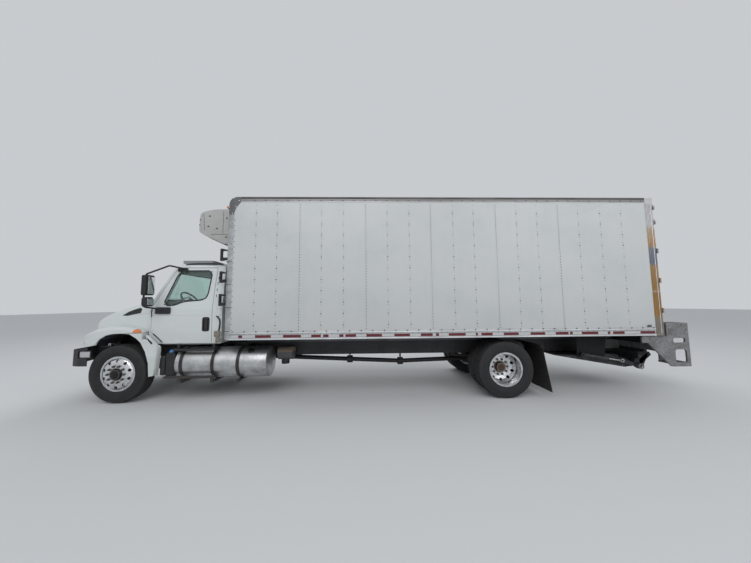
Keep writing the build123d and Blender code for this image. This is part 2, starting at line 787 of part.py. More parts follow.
def fender():
    solid = fender_form()
    rear_cut = block(-900, -416, 600, fender_flange_y, 300, 1700)
    solid -= rear_cut
    solid = solid & (door_sweep_relief() + block(-1000, 1000, 600, 900, 300, 1700))
    inner_profile = [
        (-405, 1150), (-300, 1222), (-120, 1262), (100, 1272), (285, 1252), (385, 1228), (470, 1190), (560, 1137),
        (620, 1090), (640, 1040), (640, 900), (-405, 900),
    ]
    hollow = side_slab(inner_profile, 600, arch_half_width - hood_wall) & plan_slab(
        [(760, 600), (660, 990), (600, 1085), (520, 1130), (420, 1156), (-900, 1156), (-900, 200), (760, 200)], 300, 1700)
    return solid - hollow


def fender_extensions():
    # The rear lower part of each wheel arch stays on the cab when the hood tilts
    inner_y = bonnet_rear_half + panel_gap
    part = fender() & block(-900, fender_split_x - panel_gap, inner_y, 1300, 300, fender_split_z)
    inside = offset(outline(fender_outline(fender_crown[-1][1], fender_crown[-1][2])), amount=-hood_wall)
    part -= side_prism(inside, inner_y, arch_half_width - hood_wall) & block(-900, -425, inner_y, 1300, 300, 1170)
    part += block(-690, -640, rail_outer_y + seat_gap, arch_half_width - 10, 700, 740)
    return both_sides([part])


def hood():
    outer = bonnet(0, 1100) + nose(0)
    shell = outer - bonnet(hood_wall, 1000, 60, 30) - nose(hood_wall)
    side_fender = fender() - block(-900, fender_split_x, 900, 1300, 300, fender_split_z + panel_gap)
    side_fender -= block(-900, -430, 900, 1300, 300, 1300)
    inner_space = bonnet(hood_wall, 1000, 60, 30)
    side_fender -= inner_space
    front_space = nose(hood_wall)
    side_fender -= front_space
    side_fender -= lamp_room(0.2)
    shell += side_fender + across(side_fender)
    shell -= shield_room()
    shell -= block(700, 950, -grille_half_width + 30, grille_half_width - 30, grille_low + 25, grille_high - 25)
    arm = side_slab([
        (846, 1110), (840, 1020), (858, 900), (870, 880), (895, 880), (912, 900), (905, 925), (862, 1025), (862, 1110),
    ], hood_arm_inner_y, hood_arm_outer_y)
    arm -= rod((hood_pivot_x, 200, hood_pivot_z), (hood_pivot_x, 400, hood_pivot_z), hood_pin_radius + pin_gap)
    return shell + arm + across(arm)


shield_wall = 6
shield_drop = 5
shield_inner_y = 520
shield_outer_y = arch_half_width - hood_wall - 2
shield_edge = arch_edge[:7]


def shield_room():
    # What the hood's inner walls leave free for the shields and the wheels below them
    edge = [(x, z - shield_drop + seat_gap) for x, z in shield_edge]
    room = side_slab(edge + [(edge[-1][0], 900), (edge[0][0], 900)], shield_inner_y - 10, shield_outer_y + seat_gap)
    return room + across(room)


def splash_shields():
    # A curved black sheet close under each arch; behind the wheel it stops short of the fixed extension
    over = [(x, z - shield_drop) for x, z in shield_edge]
    under = [(x, z - shield_drop - shield_wall) for x, z in shield_edge]
    sheet = side_slab(over + under[::-1], shield_inner_y, shield_outer_y)
    sheet -= block(-900, -116, 985, 1300, 900, 1300)
    return both_sides([sheet])


grille_half_width = 430
grille_low = 1050
grille_high = 1290


def grille():
    # Slatted frame that follows the nose
    face = nose(-14) - nose(-seat_gap)
    frame = face & block(700, 950, -grille_half_width, grille_half_width, grille_low, grille_high)
    for step in range(5):
        low = grille_low + 25 + 38 * step + 10
        frame -= block(700, 950, -grille_half_width + 30, grille_half_width - 30, low, low + 20)
    return frame


# Insulated body
def box_floor():
    floor = block(body_rear_x + post_width + seat_gap, body_front_x - wall_thickness - seat_gap,
                  -body_half_width + 40, body_half_width - 40, body_bottom + 60, side_rail_low)
    deck_half = body_half_width - wall_thickness - seat_gap
    floor += block(body_rear_x + post_width + seat_gap, body_front_x - wall_thickness - seat_gap,
                   -deck_half, deck_half, side_rail_low - 1, floor_top)
    bearer_pitch = 610
    x = body_front_x - 200
    while x > body_rear_x + 200:
        floor += block(x - 40, x + 40, -body_half_width + 60, body_half_width - 60, body_bottom, body_bottom + 60)
        x -= bearer_pitch
    for y in (rail_outer_y - rail_flange, -rail_outer_y):
        floor += block(rail_rear_x + 60, body_front_x - 80, y, y + rail_flange, rail_top + seat_gap, body_bottom + 60)
    post_room = block(body_front_x - corner_radius - seat_gap, body_front_x + 10, 1140 - seat_gap, 1400, 1000, 1400)
    return floor - post_room - across(post_room)


side_rail_high = overall_height - 85
wall_top = overall_height - 70


def box_side_walls():
    wall = block(body_rear_x + post_width + seat_gap, body_front_x - corner_radius - seat_gap,
                 body_half_width - wall_thickness, body_half_width - rail_cover, side_rail_low + seat_gap, wall_top)
    wall -= side_slab([(x - seat_gap, z) for x, z in cap_outline], 1000, 1400)
    return both_sides([wall])


def box_front_wall():
    return block(body_front_x - wall_thickness, front_face_x, -post_inner_y, post_inner_y, body_bottom + 2, header_low)


# The front end's outer form: corners rounded in plan and a rounded edge at the roof
front_face_x = body_front_x - rail_cover
post_inner_y = body_half_width - corner_radius - 5
header_radius = 215
header_low = overall_height - header_radius
cap_low = overall_height - 325
cap_rear_x = body_front_x - 263
cap_inner_y = post_inner_y + seat_gap


def front_form(inset):
    rear = body_front_x - 700
    front = body_front_x - inset
    half = body_half_width - inset
    high = overall_height - inset
    low = body_bottom
    side = side_slab([(rear, low), (front, low), (front, high), (rear, high)], -1400, 1400,
                     [1, 1, header_radius - inset, 1])
    plan = plan_slab([(rear, -half), (front, -half), (front, half), (rear, half)], low - 10, high + 10,
                     [1, corner_radius - inset, corner_radius - inset, 1])
    return side & plan


def front_skin(inset):
    return front_form(inset) - Pos(-0.5, 0, -0.5) * front_form(wall_thickness)


cap_outline = [
    (-1800, cap_low), (-2009, cap_low + 8), (-2061, cap_low + 138), (cap_rear_x, cap_low + 229),
    (cap_rear_x, cap_low + 365), (-1800, cap_low + 365),
]


def corner_caps():
    cap = front_skin(0) & side_slab(cap_outline, cap_inner_y, 1400)
    return both_sides([cap])


def box_roof():
    low = wall_top + seat_gap
    half = body_half_width - rail_cover - seat_gap
    section = [(-half, low), (half, low), (half, overall_height - 25), (half - 60, overall_height),
               (-half + 60, overall_height), (-half, overall_height - 25)]
    roof = front_slab(section, body_rear_x + post_width + seat_gap, cap_rear_x - seat_gap)
    header_half = cap_inner_y - seat_gap
    header = front_skin(0) & block(cap_rear_x - 10, front_face_x, -header_half, header_half,
                                   header_low + seat_gap, overall_height + 1)
    return roof + header


def side_rails():
    x_low = body_rear_x + post_width + seat_gap
    x_high = body_front_x - 150 - seat_gap
    face = body_half_width
    low_rail = front_slab([
        (face - 39, body_bottom), (face, body_bottom), (face, body_bottom + 27), (face - 5, body_bottom + 30),
        (face - 5, side_rail_low - 41), (face, side_rail_low - 35), (face, side_rail_low - 24),
        (face - 3, side_rail_low), (face - 39.5, side_rail_low),
    ], x_low, x_high)
    top_rail = front_slab([
        (face - 4.5, side_rail_high), (face, side_rail_high), (face, overall_height - 36), (face - 4.5, overall_height - 36),
    ], x_low, cap_rear_x - seat_gap)
    return both_sides([low_rail, top_rail])


def corner_posts():
    # Quarter-round posts at the two front corners, up to the caps
    x_low = body_front_x - corner_radius
    post = front_skin(0) & block(x_low, body_front_x + 1, post_inner_y + seat_gap, 1400, 1000, cap_low - seat_gap)
    return both_sides([post])


def rear_frame():
    low = body_bottom
    outer = block(body_rear_x, body_rear_x + post_width, -body_half_width, body_half_width, low, overall_height)
    inner = block(body_rear_x - 10, body_rear_x + post_width + 10, -body_half_width + 100, body_half_width - 100,
                  floor_top, overall_height - 130)
    frame = outer - inner
    for step in range(post_grooves):
        groove_x = body_rear_x + 22 + step * 26
        groove = block(groove_x, groove_x + 9, body_half_width - 4, body_half_width + 1, body_bottom + 30,
                       overall_height - 110)
        frame -= groove + across(groove)
    for z in hinge_heights:
        low = z + hinge_height + seat_gap
        butt = rod((door_hinge_x, door_hinge_y, low), (door_hinge_x, door_hinge_y, low + 30), 12)
        butt += block(door_hinge_x, body_rear_x + 1, body_half_width - 20, door_hinge_y, low, low + 30)
        frame += butt + across(butt)
    return frame


hinge_heights = (1500, 2050, 2600, 3150, overall_height - 230)
hinge_height = 60
strap_wall = 9
post_grooves = 5


def rear_door(side):
    y_low = 3
    y_high = body_half_width - 100 - panel_gap
    x_low = body_rear_x + 2
    door = block(x_low, x_low + 62, y_low, y_high, floor_top + 10, overall_height - 140)
    for y in (330, 820):
        door += rod((x_low - 24, y, floor_top + 30), (x_low - 24, y, overall_height - 160), 14)
        for z in (floor_top + 80, 2000, 2800, overall_height - 220):
            door += block(x_low - 36, x_low + 2, y - 40, y + 40, z, z + 50)
    for z in hinge_heights:
        strap_low = door_hinge_x - 2
        door += block(strap_low, strap_low + strap_wall, y_high - 150, door_hinge_y, z, z + hinge_height)
        door += block(strap_low, x_low + 2, y_high - 140, y_high, z, z + hinge_height)
        door += rod((door_hinge_x, door_hinge_y, z), (door_hinge_x, door_hinge_y, z + hinge_height), 12)
    return door if side > 0 else across(door)


# Refrigeration unit: rounded nose on the front wall
unit_back_x = front_face_x + seat_gap
unit_profile = [
    (unit_back_x, 3439), (-1868, 3539), (-1534, 3531), (-1370, 3503), (-1274, 3470), (-1177, 3407), (-1125, 3320),
    (-1112, 3244), (-1128, 3181), (-1171, 3127), (-1391, 3005), (-1699, 2862), (unit_back_x, 2862),
]


def refrigeration_unit():
    unit = side_slab(unit_profile, -1000, 1000)
    sides = plan_slab([
        (unit_back_x, -1000), (unit_back_x, 1000), (-1250, 1000), (-1105, 800), (-1105, -800), (-1250, -1000),
    ], 2800, 3600, [1, 1, 120, 120, 120, 120])
    return unit & sides


def access_steps():
    rungs = []
    for z_low, z_high in ((1689, 1908), (2110, 2322), (2517, 2742)):
        body = side_slab([
            (unit_back_x, z_low + 30), (-1760, z_low), (-1715, z_low), (-1715, z_high), (-1760, z_high),
            (unit_back_x, z_high - 30),
        ], 1095, 1135)
        hole = side_slab([(-1850, z_low + 60), (-1750, z_low + 60), (-1750, z_high - 40), (-1850, z_high - 40)],
                         1000, 1200, 15)
        rungs.append(body - hole)
    return rungs


def roof_deflector():
    slab = block(-1390, -780, -760, 760, 2532, 2579)
    slab = fillet(slab.edges().filter_by(Axis.Z), 60)
    for x in (-1300, -1050):
        for y in (-600, 560):
            slab += block(x, x + 40, y, y + 40, cab_top + seat_gap, 2540)
    return slab


# Liftgate
def liftgate_frame():
    rear = gate_rear_x
    bracket = side_slab([
        (rear + 881, 957), (rear + 881, 1078), (rear + 411, 1078), (rear + 411, 1312), (rear, 1317), (rear, 532),
        (rear + 358, 532), (rear + 770, 957),
    ], 1225, 1255, [5, 5, 5, 15, 15, 15, 15, 5])
    upper_hole = side_slab([(rear + 71, 955), (rear + 296, 955), (rear + 296, 1040), (rear + 71, 1040)], 1100, 1300, 30)
    lower_hole = side_slab([(rear + 63, 600), (rear + 276, 600), (rear + 276, 835), (rear + 63, 835)], 1100, 1300, 40)
    bracket -= upper_hole + lower_hole
    for z in (560, 860):
        bracket += block(rear + 6, rear + 301, 960, 1225, z, z + 32)
    bracket += block(rear + 6, rear + 391, 960, 1225, 1275, 1307)
    bracket += block(rear + 6, rear + 291, 960, 985, 560, 1307)
    tube_z = 800
    tube_half = 1225 - seat_gap
    frame = block(rear + 461, rear + 581, -tube_half, tube_half, tube_z, tube_z + 120)
    for y in (rail_outer_y + seat_gap, -rail_outer_y - seat_gap - 16):
        frame += block(rear + 571, rear + 891, y, y + 16, tube_z - 60, tube_z + 120)
    plates = []
    for y in (hanger_y, -hanger_y - hanger_wall):
        plates.append(side_slab([
            (arm_pivot[0] + 470, body_bottom - seat_gap), (arm_pivot[0] + 470, 655), (arm_pivot[0] + 310, 655),
            (arm_pivot[0] + 90, 640), (arm_pivot[0] - 80, 640), (arm_pivot[0] - 130, body_bottom - seat_gap),
        ], y, y + hanger_wall))
    pins = []
    for side in (-1, 1):
        pins.append(rod((arm_pivot[0], side * (hanger_y + 6), arm_pivot[1]),
                        (arm_pivot[0], side * (arm_inner_y - 10), arm_pivot[1]), 20))
        pins.append(rod((barrel_pivot[0], side * (hanger_y + 6), barrel_pivot[1]),
                        (barrel_pivot[0], side * (cylinder_y + 34), barrel_pivot[1]), 18))
    hangers = [plates[0] + pins[2] + pins[3], plates[1] + pins[0] + pins[1]]
    return both_sides([bracket]) + [frame] + hangers


eye = ((arm_pivot[0] + arm_tip[0]) / 2, (arm_pivot[1] + arm_tip[1]) / 2)


def lift_arms():
    dx = arm_tip[0] - arm_pivot[0]
    dz = arm_tip[1] - arm_pivot[1]
    length = math.hypot(dx, dz)
    nx = -dz / length * 34
    nz = dx / length * 34
    arm_points = [
        (arm_pivot[0] + nx, arm_pivot[1] + nz), (arm_pivot[0] - nx, arm_pivot[1] - nz),
        (arm_tip[0] - nx, arm_tip[1] - nz), (arm_tip[0] + nx, arm_tip[1] + nz),
    ]
    gusset_points = [
        (arm_tip[0] + 120, arm_tip[1] + 10), (arm_tip[0] - 10, arm_tip[1] + 10), (arm_tip[0] - 20, arm_tip[1] + 130),
        (arm_tip[0] + 40, arm_tip[1] + 135),
    ]
    opener_points = [
        (arm_tip[0] - 45, arm_tip[1] + 20), (arm_tip[0] - 275, arm_tip[1] + 200), (arm_tip[0] - 235, arm_tip[1] + 265),
        (arm_tip[0] + 10, arm_tip[1] + 90),
    ]
    arms = rod((arm_tip[0], -arm_outer_y, arm_tip[1]), (arm_tip[0], arm_outer_y, arm_tip[1]), 30)
    for side in (-1, 1):
        low, high = sorted((side * arm_inner_y, side * arm_outer_y))
        arm = side_slab(arm_points, low, high)
        for x, z in (arm_pivot, arm_tip):
            arm += rod((x, low, z), (x, high, z), 48)
        arm += side_slab(gusset_points, low, high, 12)
        arm += side_slab(opener_points, low, high, 10)
        arm += rod((arm_tip[0] + 20, high if side > 0 else low, arm_tip[1]),
                   (arm_tip[0] + 20, side * (arm_outer_y + 40), arm_tip[1]), 56)
        arm -= rod((arm_pivot[0], low - 5, arm_pivot[1]), (arm_pivot[0], high + 5, arm_pivot[1]), 20 + pin_gap)
        arm += rod((eye[0], side * (arm_outer_y - 5), eye[1]), (eye[0], side * (cylinder_y + 30), eye[1]),
                   eye_pin_radius)
        arms += arm
    return arms


platform_profile = [
    (arm_tip[0] + 1600, 668), (arm_tip[0] + 1600, 678), (arm_tip[0] + 180, 600), (arm_tip[0] + 80, 540),
    (arm_tip[0] + 80, 440), (arm_tip[0] + 200, 425),
]


def lift_platform():
    deck = side_slab(platform_profile, -arm_inner_y + 20, arm_inner_y - 20)
    for y in (-700, -250, 210, 660):
        lug = rod((arm_tip[0], y, arm_tip[1]), (arm_tip[0], y + 40, arm_tip[1]), 50)
        lug += block(arm_tip[0], arm_tip[0] + 100, y, y + 40, arm_tip[1] - 28, arm_tip[1] + 50)
        deck += lug
    return deck - rod((arm_tip[0], -900, arm_tip[1]), (arm_tip[0], 900, arm_tip[1]), 30 + pin_gap)


def along_cylinder(distance):
    dx = eye[0] - barrel_pivot[0]
    dz = eye[1] - barrel_pivot[1]
    length = math.hypot(dx, dz)
    return barrel_pivot[0] + dx / length * distance, barrel_pivot[1] + dz / length * distance


cylinder_length = math.hypot(eye[0] - barrel_pivot[0], eye[1] - barrel_pivot[1])


def cylinder_part(start, end, radius, side):
    x0, z0 = along_cylinder(start)
    x1, z1 = along_cylinder(end)
    return rod((x0, side * cylinder_y, z0), (x1, side * cylinder_y, z1), radius)


def lift_cylinders():
    barrels = []
    for side in (-1, 1):
        barrel = cylinder_part(0, 500, 33, side)
        low, high = sorted((side * (cylinder_y - 26), side * (cylinder_y + 26)))
        barrel += rod((barrel_pivot[0], low, barrel_pivot[1]), (barrel_pivot[0], high, barrel_pivot[1]), 38)
        barrel -= cylinder_part(340, 510, 18 + pin_gap, side)
        barrel -= rod((barrel_pivot[0], low - 15, barrel_pivot[1]), (barrel_pivot[0], high + 15, barrel_pivot[1]),
                      18 + pin_gap)
        barrels.append(barrel)
    return barrels


def lift_rods():
    rods = []
    for side in (-1, 1):
        low, high = sorted((side * (cylinder_y - 24), side * (cylinder_y + 24)))
        bar = cylinder_part(410, cylinder_length - 20, 18, side)
        bar += rod((eye[0], low, eye[1]), (eye[0], high, eye[1]), 34)
        bar -= rod((eye[0], low - 5, eye[1]), (eye[0], high + 5, eye[1]), eye_pin_radius + open_pivot_gap)
        rods.append(bar)
    return rods


def lamp_room(growth):
    # A pod let into the front corner of each fender
    lamp = side_slab([
        (545 - growth, 1045 - growth), (780, 1045 - growth), (780, 1200), (575 - growth, 1165 + growth),
    ], 840 - growth, 1178)
    shape = [(520, 1190), (660, 1120), (720, 1000), (792, 800), (700, 800), (640, 960), (560, 1040), (480, 1080)]
    return lamp & plan_slab(shape, 1000, 1300)


def headlamps():
    return both_sides([lamp_room(0) & fender_form()])


def write_all():
    write("chassis_frame", chassis_frame())
    write("front_bumper", front_bumper())
    write("front_axle", front_axle())
    left_knuckle = knuckle()
    write("knuckle_left", left_knuckle)
    write("knuckle_right", across(left_knuckle))
    write("tie_rod", tie_rod())
    write("rear_axle", rear_axle())
    write("leaf_springs", leaf_springs())
    write("engine", engine())
    write("drive_shaft", drive_shaft())
    write("fuel_tank", fuel_tank())
    write("tank_straps", tank_straps())
    write("def_tank", def_tank())
    write("cab_steps", both_sides(list(cab_steps())))
    write("air_dryer", air_dryer())
    write("battery_box", battery_box())
    write("exhaust", exhaust())
    write("mud_flaps", mud_flaps())
    write("cab_shell", cab_shell())
    write("windshield", windshield())
    write("dashboard", dashboard())
    write("steering_wheel", steering_wheel())
    write("seats", seats())
    left_door = cab_door()
    write("cab_door_left", left_door)
    write("cab_door_right", across(left_door))
    left_glass = door_glass()
    write("door_glass_left", [s for s in left_glass.solids() if s.center().Y > 0])
    write("door_glass_right", [across(s) for s in left_glass.solids() if s.center().Y > 0])
    left_mirror = mirror_set()
    write("mirror_left", left_mirror)
    write("mirror_right", across(left_mirror))
    write("hood", hood())
    write("fender_extensions", fender_extensions())
    write("grille", grille())
    write("splash_shields", splash_shields())
    write("headlamps", headlamps())
    write("roof_deflector", roof_deflector())
    write("box_floor", box_floor())
    write("box_side_walls", box_side_walls())
    write("box_front_wall", box_front_wall())
    write("box_roof", box_roof())
    write("side_rails", side_rails())
    write("corner_posts", corner_posts())
    write("corner_caps", corner_caps())
    write("rear_frame", rear_frame())
    write("rear_door_left", rear_door(1))
    write("rear_door_right", rear_door(-1))
    write("refrigeration_unit", refrigeration_unit())
    write("access_steps", access_steps())
    write("liftgate_frame", liftgate_frame())
    write("lift_arms", lift_arms())
    write("lift_platform", lift_platform())
    write("lift_cylinders", lift_cylinders())
    write("lift_rods", lift_rods())
    for name, side in (("left", 1), ("right", -1)):
        write(f"front_{name}_tyre", tyre(0, side * front_wheel_y))
        write(f"front_{name}_rim", front_rim(side))
        write(f"rear_{name}_tyres", [
            tyre(rear_axle_x, side * dual_inner_y), tyre(rear_axle_x, side * dual_outer_y),
        ])
        write(f"rear_{name}_rims", rear_rims(side))


write_all()
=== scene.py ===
import math

import bmesh
import bpy
from mathutils import Matrix, Vector


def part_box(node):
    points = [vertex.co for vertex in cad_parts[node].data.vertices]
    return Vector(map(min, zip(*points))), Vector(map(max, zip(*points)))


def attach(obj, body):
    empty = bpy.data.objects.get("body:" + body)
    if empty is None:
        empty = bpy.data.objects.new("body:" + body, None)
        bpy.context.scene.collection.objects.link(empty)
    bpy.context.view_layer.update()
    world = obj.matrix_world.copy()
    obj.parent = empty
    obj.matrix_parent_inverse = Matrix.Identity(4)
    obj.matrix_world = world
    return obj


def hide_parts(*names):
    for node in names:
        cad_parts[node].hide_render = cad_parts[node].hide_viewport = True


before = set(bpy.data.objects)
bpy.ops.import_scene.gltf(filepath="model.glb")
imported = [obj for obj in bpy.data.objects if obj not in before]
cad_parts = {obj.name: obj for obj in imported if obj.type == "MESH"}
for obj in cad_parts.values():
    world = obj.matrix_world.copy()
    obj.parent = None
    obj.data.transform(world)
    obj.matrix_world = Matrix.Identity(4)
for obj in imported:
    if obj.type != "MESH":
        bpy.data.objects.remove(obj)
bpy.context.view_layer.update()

# Camera: stands 6 m out from the driver's side, a little ahead of the middle, at eye height.
# Its short lens takes in the whole truck, as the photograph does.
bpy.ops.object.camera_add(location=(0.2192, 6.1665, 1.6951))
camera = bpy.context.object
camera.name = "photo_camera"
camera.rotation_euler = (math.radians(94.8015), math.radians(0.4510), math.radians(178.4966))
camera.data.sensor_width = 36.0
camera.data.lens = 13.084
camera.data.clip_start = 0.05
camera.data.clip_end = 300.0
bpy.context.scene.camera = camera

# Chassis frame: two pressed steel channels with cross-members, painted black.
# Flanged bolts hold every cross-member to the rail webs.
front_hub_low, front_hub_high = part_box("front_left_rim")
front_axle_x = (front_hub_low.x + front_hub_high.x) / 2
along = Vector((1, 0, 0))
across = Vector((0, 1, 0))
upright = Vector((0, 0, 1))
both_sides = (("left", 1), ("right", -1))


def at(x, y, z):
    """A point given in millimetres from the front axle, the centre line and the ground."""
    return Vector((front_axle_x + x / 1000, y / 1000, z / 1000))


def shader_of(material):
    return material.node_tree.nodes["Principled BSDF"]


def finish_material(name, colour, rough, metal=0.0, more=None):
    """A plain finish; more holds values for other sockets of its shader."""
    made = bpy.data.materials.new(name)
    made.use_nodes = True
    values = {"Base Color": (*colour, 1), "Roughness": rough, "Metallic": metal, **(more or {})}
    for socket, value in values.items():
        shader_of(made).inputs[socket].default_value = value
    return made


def link_nodes(material, source, target):
    material.node_tree.links.new(source, target)


def texture(material, kind, scale, stretch=(1, 1, 1), output="Fac", **settings):
    """The output of a texture that reads the piece's own place, stretched along its axes."""
    nodes = material.node_tree.nodes
    place = nodes.new("ShaderNodeTexCoord")
    mapping = nodes.new("ShaderNodeMapping")
    mapping.inputs["Scale"].default_value = stretch
    made = nodes.new("ShaderNodeTex" + kind)
    made.inputs["Scale"].default_value = scale
    for key, value in settings.items():
        if key.title() in made.inputs:
            made.inputs[key.title()].default_value = value
        else:
            setattr(made, key, value)
    link_nodes(material, place.outputs["Object"], mapping.inputs["Vector"])
    link_nodes(material, mapping.outputs["Vector"], made.inputs["Vector"])
    return made.outputs[output]


def ramp_from(material, factor, stops):
    """A colour ramp; stops are (place, colour or grey) pairs."""
    ramp = material.node_tree.nodes.new("ShaderNodeValToRGB")
    while len(ramp.color_ramp.elements) < len(stops):
        ramp.color_ramp.elements.new(0.5)
    for element, (place, colour) in zip(ramp.color_ramp.elements, stops):
        element.position = place
        element.color = (colour, colour, colour, 1) if isinstance(colour, float) else (*colour, 1)
    link_nodes(material, factor, ramp.inputs["Fac"])
    return ramp.outputs["Color"]


def feed(material, sockets, values):
    """Gives each socket a number, a colour or another node's output."""
    for socket, value in zip(sockets, values):
        if isinstance(value, float):
            socket.default_value = value
        elif isinstance(value, tuple):
            socket.default_value = (*value, 1)
        else:
            link_nodes(material, value, socket)


def mix_colours(material, factor, low, high):
    """Low where the factor is 0, high where it is 1."""
    mix = material.node_tree.nodes.new("ShaderNodeMix")
    mix.data_type = "RGBA"
    feed(material, (mix.inputs[0], mix.inputs[6], mix.inputs[7]), (factor, low, high))
    return mix.outputs[2]


def combine(material, operation, first, second=0.0):
    node = material.node_tree.nodes.new("ShaderNodeMath")
    node.operation = operation
    feed(material, node.inputs[:2], (first, second))
    return node.outputs[0]


def place_share(material, axis, low, high):
    """0 where the surface is at low metres along X, Y or Z of the frame, and 1 at high."""
    nodes = material.node_tree.nodes
    place = nodes.new("ShaderNodeTexCoord")
    split = nodes.new("ShaderNodeSeparateXYZ")
    share = nodes.new("ShaderNodeMapRange")
    share.inputs["From Min"].default_value = low
    share.inputs["From Max"].default_value = high
    link_nodes(material, place.outputs["Object"], split.inputs["Vector"])
    link_nodes(material, split.outputs[axis], share.inputs["Value"])
    return share.outputs["Result"]


def colour_to(material, output):
    link_nodes(material, output, shader_of(material).inputs["Base Color"])


def rough_to(material, factor, low, high):
    """Roughness that runs from low to high with the factor."""
    spread = material.node_tree.nodes.new("ShaderNodeMapRange")
    spread.inputs["To Min"].default_value = low
    spread.inputs["To Max"].default_value = high
    link_nodes(material, factor, spread.inputs["Value"])
    link_nodes(material, spread.outputs["Result"], shader_of(material).inputs["Roughness"])


def bump_from(material, height, strength, distance):
    """Relief from a height; it is laid over any relief that the finish already has."""
    bump = material.node_tree.nodes.new("ShaderNodeBump")
    bump.inputs["Strength"].default_value = strength
    bump.inputs["Distance"].default_value = distance
    link_nodes(material, height, bump.inputs["Height"])
    normal = shader_of(material).inputs["Normal"]
    if normal.links:
        link_nodes(material, normal.links[0].from_socket, bump.inputs["Normal"])
    link_nodes(material, bump.outputs["Normal"], normal)


def grain(material, scale, strength, distance):
    """Fine irregular relief, such as orange peel, casting skin or moulded texture."""
    bump_from(material, texture(material, "Noise", scale, detail=4.0, roughness=0.6), strength, distance)


def coat_nodes(material, *nodes):
    """Gives CAD nodes their finish."""
    for node in nodes:
        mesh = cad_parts[node].data
        mesh.materials.clear()
        mesh.materials.append(material)


def grime(material, clean, dirty, z_low, z_high, amount, drift_scale=2.2):
    """Dust that is heaviest near the ground, broken up by drifting noise."""
    drift = texture(material, "Noise", drift_scale, (1, 1, 2.5), detail=8.0, roughness=0.65)
    patches = ramp_from(material, drift, [(0.36, 0.15), (0.68, 1.0)])
    low_down = combine(material, "SUBTRACT", 1.0, place_share(material, "Z", z_low, z_high))
    share = combine(material, "MULTIPLY", combine(material, "MULTIPLY", patches, low_down), amount)
    colour_to(material, mix_colours(material, share, clean, dirty))


def dusty(name, colour, rough, dust, skin, *nodes, metal=0.0):
    """A finish under dust for CAD nodes and new pieces; dust holds grime's values, skin grain's."""
    made = finish_material(name, colour, rough, metal)
    grime(made, *dust)
    grain(made, *skin)
    coat_nodes(made, *nodes)
    return made


def choose(piece):
    """Makes a piece active, with nothing else selected."""
    bpy.ops.object.select_all(action="DESELECT")
    piece.select_set(True)
    bpy.context.view_layer.objects.active = piece


def join_pieces(pieces):
    choose(pieces[0])
    for piece in pieces:
        piece.select_set(True)
    bpy.ops.object.join()
    return pieces[0]


def smooth_by(piece, degrees):
    choose(piece)
    bpy.ops.object.shade_smooth_by_angle(angle=math.radians(degrees))
    return piece


def settle(pieces, name, material, body="chassis", smooth=0):
    """Joins a list of pieces, or takes one; puts its place into its mesh and gives it finish and body."""
    piece = join_pieces(pieces) if isinstance(pieces, list) else pieces
    if smooth:
        smooth_by(piece, smooth)
    choose(piece)
    bpy.ops.object.transform_apply(location=True, rotation=True, scale=True)
    piece.name = name
    piece.data.materials.append(material)
    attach(piece, body)
    return piece


def copy_moved(piece, move):
    """A copy with its own mesh, moved by a matrix."""
    copy = piece.copy()
    copy.data = piece.data.copy()
    bpy.context.collection.objects.link(copy)
    copy.matrix_world = move @ piece.matrix_world
    return copy


def set_out(pattern, moves):
    """Copies of a pattern piece at each move, joined into one; the pattern itself goes."""
    made = [copy_moved(pattern, move) for move in moves]
    bpy.data.objects.remove(pattern)
    return join_pieces(made)


def inset_faces(piece, chosen, *steps, apart=False):
    """Draws in the faces that a test picks; each step is (thickness, depth) in millimetres."""
    bpy.ops.object.mode_set(mode="EDIT")
    bpy.ops.mesh.select_all(action="DESELECT")
    for face in bmesh.from_edit_mesh(piece.data).faces:
        face.select = chosen(face)
    bmesh.update_edit_mesh(piece.data)
    for thickness, depth in steps:
        bpy.ops.mesh.inset(thickness=thickness / 1000, depth=depth / 1000, use_individual=apart)
    bpy.ops.object.mode_set(mode="OBJECT")
    return piece


def stud(centre, outward, radius, height, sides=6, dome=0.35):
    """A bolt head, nut or rivet: a short prism with its top edge drawn in."""
    bpy.ops.object.select_all(action="DESELECT")
    bpy.ops.mesh.primitive_cylinder_add(vertices=sides, radius=radius / 1000, depth=height / 1000,
                                        location=centre + outward * (height / 2000))
    piece = bpy.context.object
    piece.rotation_euler = outward.to_track_quat("Z", "Y").to_euler()
    bpy.ops.object.transform_apply(location=True, rotation=True, scale=True)
    return inset_faces(piece, lambda face: face.normal.dot(outward) > 0.9, (radius * dome, height * dome))


chassis_black = dusty("chassis_black", (0.012, 0.013, 0.017), 0.5,
                      ((0.010, 0.011, 0.015), (0.075, 0.07, 0.064), 0.2, 1.3, 0.7), (260.0, 0.25, 0.0006),
                      "chassis_frame", "splash_shields")
members = (600, 180, -560, -1330, -2300, -3500, -4700, -5800, -6300, -7500, -8200, -9000, -9560)
web_y = 432
frame_bolt = stud(at(0, web_y, 0), across, 14, 11)
bolt_moves = []
for x in (member + step for member in members for step in (-45, 45)):
    for z in (735, 800, 865):
        bolt_moves.append(Matrix.Translation((x / 1000, 0, z / 1000)))
        bolt_moves.append(Matrix.Translation(at(x, 0, z)) @ Matrix.Rotation(math.pi, 4, "Z")
                          @ Matrix.Translation(-at(0, 0, 0)))
settle(set_out(frame_bolt, bolt_moves), "frame_bolts", chassis_black)

# Axles, springs and exhaust: forged and cast iron left to darken.
# Brown rust shows through the black on edges and castings.


def mottled(name, colour, rough, tones, scale, detail, skin=None, metal=0.0, span=None, more=None,
            stretch=(1, 1, 1), **settings):
    """A finish whose colour drifts with one noise, and its roughness too over a span; skin holds grain's values."""
    made = finish_material(name, colour, rough, metal, more)
    drift = texture(made, "Noise", scale, stretch, detail=detail, **settings)
    colour_to(made, ramp_from(made, drift, tones))
    if span:
        rough_to(made, drift, *span)
    if skin:
        grain(made, *skin)
    return made


